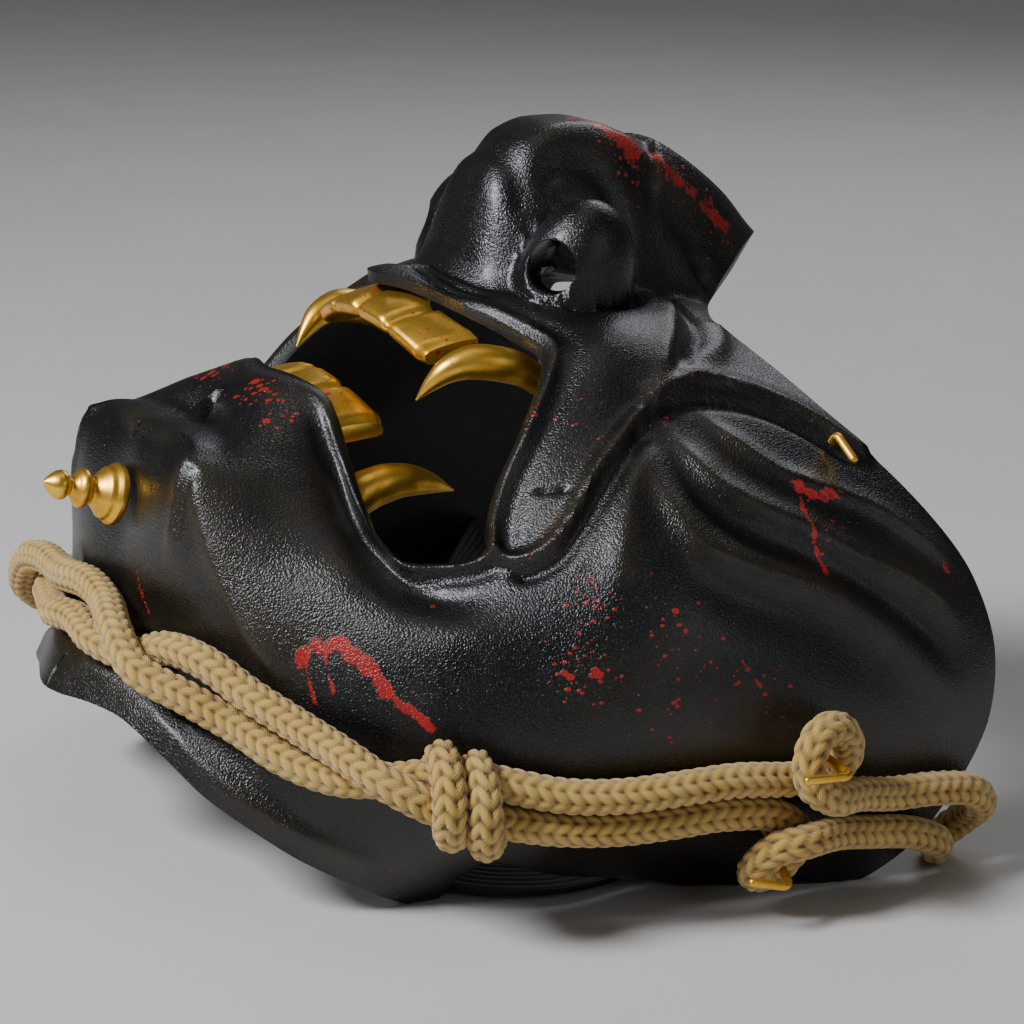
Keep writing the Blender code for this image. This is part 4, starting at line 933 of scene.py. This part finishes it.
# from the hooks to the rear edge and round it: across, up, height off the skin in thicknesses of the cord
upperEnd = (
    (77.2, 28.5, 0.45), (76.4, 35.0, 0.08), (73.4, 42.5, 0.05), (71.0, 48.5, 0.05), (70.6, 53.5, -0.2),
)
lowerEnd = (
    (81.6, 28.0, 0.45), (80.8, 35.0, 0.08), (78.6, 42.5, 0.05), (77.0, 49.0, 0.05), (77.0, 54.0, -0.5),
)
rearTurn = ((72.0, 57.0, -0.9), (75.4, 57.6, -1.3))
cordSet = {
    "radius": 3.1 * mm, "clear": 1.1 * mm, "half": 3.5 * mm, "twistPoints": 15, "loopRadius": (2.8, 4.3),
    "loopUpper": (74.6, 20.5, -1.0), "loopLower": (85.0, 19.5, 1.0), "loopRise": 1.08, "loopPoints": 9,
    "quads": 79000, "sides": 40, "columns": 8, "stitch": 2.5 * mm, "stitchHalf": (1.0 * mm, 2.3 * mm),
    "lean": math.radians(42), "lump": 0.75 * mm, "swell": 0.05 * mm, "dense": 6000, "smoothing": 4,
}

# turn: degrees of the half ellipse each side; shifts: its turns along the strands
knotSet = {
    "at": (70.0, -34.2), "ahead": (72.0, -31.4), "wide": 6.1 * mm, "high": 8.0 * mm, "slant": 2.2 * mm,
    "turn": 98, "rings": 96, "shifts": (-3.1 * mm, 3.1 * mm),
}


def strandLine(s, side, loop, end, mirror):
    # Half of one strand: turned with the other along the jaw, once round its own hook, then to the rear edge.
    table = np.array(strandTable, float)
    turns = table[:, 2] if mirror > 0 else table[:, 3]
    way, normal = skinPoint(table[:, 0], table[:, 1], np.full(len(table), s["radius"] + s["clear"]))
    line = splineLine(np.column_stack([way, normal, turns]), s["twistPoints"])
    way, normal, phase = line[:, :3], line[:, 3:6], np.pi * line[:, 6:]
    out = -side * unit(np.cross(np.gradient(way, axis=0), normal))
    lift = side * np.sin(phase) + np.abs(np.sin(phase))
    twisted = way + s["half"] * (out * np.cos(phase) + normal * lift)
    turn = np.linspace(0.0, 2 * np.pi, s["loopPoints"])
    ring = np.column_stack([
        loop[0] - loop[2] * s["loopRadius"][0] * np.cos(turn), loop[1] + s["loopRadius"][1] * np.sin(turn),
        s["loopRise"] * ramp(0.0, 2 * np.pi, turn),
    ])
    rest = np.vstack([ring, np.array(end, float)])
    tail, _ = skinPoint(rest[:, 0], rest[:, 1], s["radius"] + s["clear"] + rest[:, 2] * 2 * s["radius"])
    return mirrored(np.vstack([twisted, tail]), mirror)


def cordRoute(s):
    # All points of the closed route: out on one side of the mask and back on the other.
    turn = np.array(rearTurn, float)
    bend, _ = skinPoint(turn[:, 0], turn[:, 1], s["radius"] + s["clear"] + turn[:, 2] * 2 * s["radius"])
    halves = []
    for mirror in (1.0, -1.0):
        upper = strandLine(s, 1.0, s["loopUpper"], upperEnd, mirror)
        lower = strandLine(s, -1.0, s["loopLower"], lowerEnd, mirror)
        halves.append(np.vstack([upper, mirrored(bend, mirror), lower[::-1]]))
    return np.vstack([halves[0], halves[1][::-1][1:-1]])


def plait(s, turn, along):
    # Height, fibre line and crevice of a round braid: columns of long stitches that lean left and right in
    # turn, each stitch the top of an ellipsoid, and the highest of the near stitches wins.
    width = 2 * np.pi * s["radius"] / s["columns"]
    best = np.full(np.broadcast(turn, along).shape, -1.0)
    fibre = np.zeros(best.shape)
    column = turn / (2 * np.pi) * s["columns"]
    for shiftColumn in (-1, 0, 1):
        c = np.floor(column) + shiftColumn
        x = (column - c - 0.5) * width
        lean = np.where(np.mod(c, 2) > 0.5, 1.0, -1.0) * s["lean"]
        base = np.round(along / s["stitch"])
        for shift in (-1, 0, 1):
            y = along - (base + shift) * s["stitch"]
            u = x * np.cos(lean) - y * np.sin(lean)
            v = x * np.sin(lean) + y * np.cos(lean)
            high = 1 - (u / s["stitchHalf"][0]) ** 2 - (v / s["stitchHalf"][1]) ** 2
            fibre = np.where(high > best, u / mm, fibre)
            best = np.maximum(best, high)
    return np.sqrt(np.clip(best, 0.0, 1.0)), fibre


def knotLine(s, k, shift, mirror):
    # One turn laid slantwise over both strands, down to the skin on either side: half an ellipse.
    ends = np.array([k["at"], k["ahead"]])
    (here, there), (normal, _) = skinPoint(ends[:, 0], ends[:, 1], np.full(2, s["radius"] + s["clear"]))
    way = unit(there - here)
    turn = np.radians(np.linspace(-k["turn"], k["turn"], k["rings"]))[:, None]
    line = here + np.cross(way, normal) * np.sin(turn) * k["wide"] + normal * np.cos(turn) * k["high"]
    return mirrored(line + way * (shift + k["slant"] * turn), mirror)


def braidTube(s, path, total, closed):
    # Rings square to the path; their radius follows the plait.
    u, v = steadyFrames(path, closed)
    at = np.linspace(0.0, total, len(path), endpoint=not closed)
    turn = np.linspace(0.0, 2 * np.pi, s["sides"], endpoint=False)[None, :]
    high, fibre = plait(s, turn + 0 * at[:, None], at[:, None] + 0 * turn)
    radius = (s["radius"] + s["swell"] - s["lump"] * (1 - high))[..., None]
    outward = u[:, None, :] * np.cos(turn)[..., None] + v[:, None, :] * np.sin(turn)[..., None]
    verts = path[:, None, :] + radius * outward
    return verts.reshape(-1, 3), high.ravel(), fibre.ravel()


def braidedCord(s, k):
    # The route smoothed and walked in even steps, then the knot's turns on both sides of the jaw.
    route = cordRoute(s)
    loop = np.vstack([route[-3:], route, route[:3]])
    dense = splineLine(loop, s["dense"])
    third = s["dense"] // 3
    start = np.argmin(np.linalg.norm(dense[:third] - route[0], axis=1))
    stop = 2 * third + np.argmin(np.linalg.norm(dense[2 * third:] - route[0], axis=1))
    dense = dense[start:stop]
    closedLine = np.vstack([dense, dense[:1]])
    where = walked(closedLine)
    total = where[-1]
    s = dict(s, stitch=total / round(total / s["stitch"]))
    count = int(s["quads"] * detail / s["sides"])
    at = np.linspace(0.0, total, count, endpoint=False)
    path = np.column_stack([np.interp(at, where, closedLine[:, c]) for c in range(3)])
    for _ in range(s["smoothing"]):
        path = 0.5 * path + 0.25 * (np.roll(path, 1, axis=0) + np.roll(path, -1, axis=0))
    tubes = [braidTube(s, path, total, True)]
    a = np.arange(s["sides"])
    b = (a + 1) % s["sides"]
    last = (count - 1) * s["sides"]
    quads = [gridQuads(count, s["sides"]), np.stack([a + last, b + last, b, a], -1)]
    caps, first = [], count * s["sides"]
    for mirror in (1.0, -1.0):
        for shift in k["shifts"]:
            line = knotLine(s, k, shift, mirror)
            tubes.append(braidTube(s, line, walked(line)[-1], False))
            quads.append(gridQuads(len(line), s["sides"], start=first))
            caps += [[c + first for c in cap] for cap in ringCaps(len(line), s["sides"])]
            first += len(line) * s["sides"]
    print("cord length mm", round(total / mm, 1))
    verts, high, fibre = (np.concatenate(part) for part in zip(*tubes))
    # stitch height, which also sets the cord's painted highlight and painted shade
    values = {"stitch": high, "fibre": fibre}
    cotton = cordMaterial(cordPatterns, cordYarn)
    return addSurface("chin_cord_braided", verts, np.concatenate(quads), caps, cotton, values, 180)


finish(braidedCord(cordSet, knotSet), ["chin_cord"])
print("cord made")

# x, y, z as shares of reach where it is drawn, bank in degrees
strapTable = (
    (0.655, 0.20, 0.18, 88), (0.545, 0.04, 0.11, 48), (0.54, -0.11, 0.050, 14),
    (0.55, -0.235, 0.042, 8), (0.50, -0.32, 0.040, 6), (0.40, -0.365, 0.038, 4), (0.27, -0.37, 0.036, 2),
    (0.12, -0.345, 0.035, 0), (-0.14, -0.27, 0.035, 0),
    (-0.40, -0.12, 0.05, -16), (-0.545, 0.04, 0.11, -48), (-0.655, 0.20, 0.18, -88),
)
strapSet = {
    "end": (72.0, 44.0, 114.0), "seat": 2.0 * mm, "width": 18 * mm, "thick": 1.7 * mm, "ribs": 11,
    "rib": 0.28 * mm, "dot": 1.1 * mm, "dotShare": 0.45, "rows": 420, "points": 78,
}


def headStrap(s):
    # A flat band along its path: both faces ribbed lengthways, each rib knotted at every stitch.
    across, up, bank = s["end"]
    end = (place(np.array(across), np.array(up), innerAt(across, up) - s["seat"]) - rowShift) / reach
    rows = int(s["rows"] * detail)
    path = splineLine([(*end, bank), *strapTable, (-end[0], end[1], end[2], -bank)], rows)
    line = path[:, :3] * reach + rowShift
    along = unit(np.gradient(line, axis=0))
    flat = unit(np.cross(along, (0.0, 0.0, 1.0)))
    turn = np.abs(np.radians(path[:, 3]))[:, None]
    wide = flat * np.cos(turn) + np.cross(flat, along) * np.sin(turn)
    thick = np.cross(wide, along)
    a = np.linspace(-1.0, 1.0, s["points"])
    ribs = 0.5 + 0.5 * np.cos(a * np.pi * s["ribs"])
    section = [(x, 1.0, r) for x, r in zip(a, ribs)] + [(x, -1.0, r) for x, r in zip(a[::-1], ribs[::-1])]
    x, face, rib = (np.array(col)[None, :] for col in zip(*section))
    phase = 2 * np.pi * walked(line)[:, None] / s["dot"] + np.pi * np.round(x * s["ribs"] / 2)
    dots = 0.5 + 0.5 * np.cos(phase)
    height = s["thick"] / 2 - s["rib"] * (1 - rib * (1 - s["dotShare"] * (1 - dots)))
    verts = line[:, None, :] + wide[:, None, :] * (x * s["width"] / 2)[..., None]
    verts = verts + thick[:, None, :] * (face * height)[..., None]
    # rib and dots: the heights that also set the strap's painted shade and painted highlight
    values = {"rib": rib + 0 * dots, "dots": dots * rib}
    return addTube("head_strap_ribbed", verts, elasticMaterial(elasticPatterns), values, 60)


finish(headStrap(strapSet), ["head_strap"])
print("strap made")

floorHalf = 2.5


def addFloor(half):
    # A square of paper under the mask.
    corners = [(-half, -half, 0), (half, -half, 0), (half, half, 0), (-half, half, 0)]
    mesh = bpy.data.meshes.new("floor")
    mesh.from_pydata(corners, [], [(0, 1, 2, 3)])
    mesh.materials.append(floorMaterial(floorPatterns))
    floor = bpy.data.objects.new("floor", mesh)
    bpy.context.scene.collection.objects.link(floor)


# name, place, aims at, width, height, watts, colour
lightTable = (
    ("key", (0.05, -0.80, 0.80), (0.0, 0.0, 0.06), 0.34, 0.26, 15.5, "#f4f8ff"),
    ("fill", (0.95, 0.30, 0.45), (0.0, 0.0, 0.05), 0.60, 0.50, 0.9, "#eef3ff"),
    ("rim", (-0.55, 0.65, 0.70), (0.0, 0.0, 0.08), 0.50, 0.30, 1.8, "#f6f8ff"),
    ("top", (0.05, 0.05, 0.95), (0.0, 0.0, 0.05), 0.45, 0.45, 0.5, "#ffffff"),
)
roomLight = {"colour": "#dfe3e8", "strength": 0.10}


def addLights():
    # Soft boxes round the mask and a faint even room.
    for name, at, aim, width, height, watts, tint in lightTable:
        data = bpy.data.lights.new(name, "AREA")
        data.shape = "RECTANGLE"
        data.size, data.size_y = width, height
        data.energy = watts
        data.color = hexColour(tint)[:3]
        lamp = bpy.data.objects.new(name, data)
        lamp.location = at
        lamp.rotation_euler = (Vector(at) - Vector(aim)).to_track_quat("Z", "Y").to_euler()
        bpy.context.scene.collection.objects.link(lamp)
    world = bpy.data.worlds.new("soft_room")
    world.use_nodes = True
    sky = world.node_tree.nodes["Background"]
    sky.inputs["Color"].default_value = hexColour(roomLight["colour"])
    sky.inputs["Strength"].default_value = roomLight["strength"]
    bpy.context.scene.world = world


addFloor(floorHalf)
addLights()
print("floor and lights made")
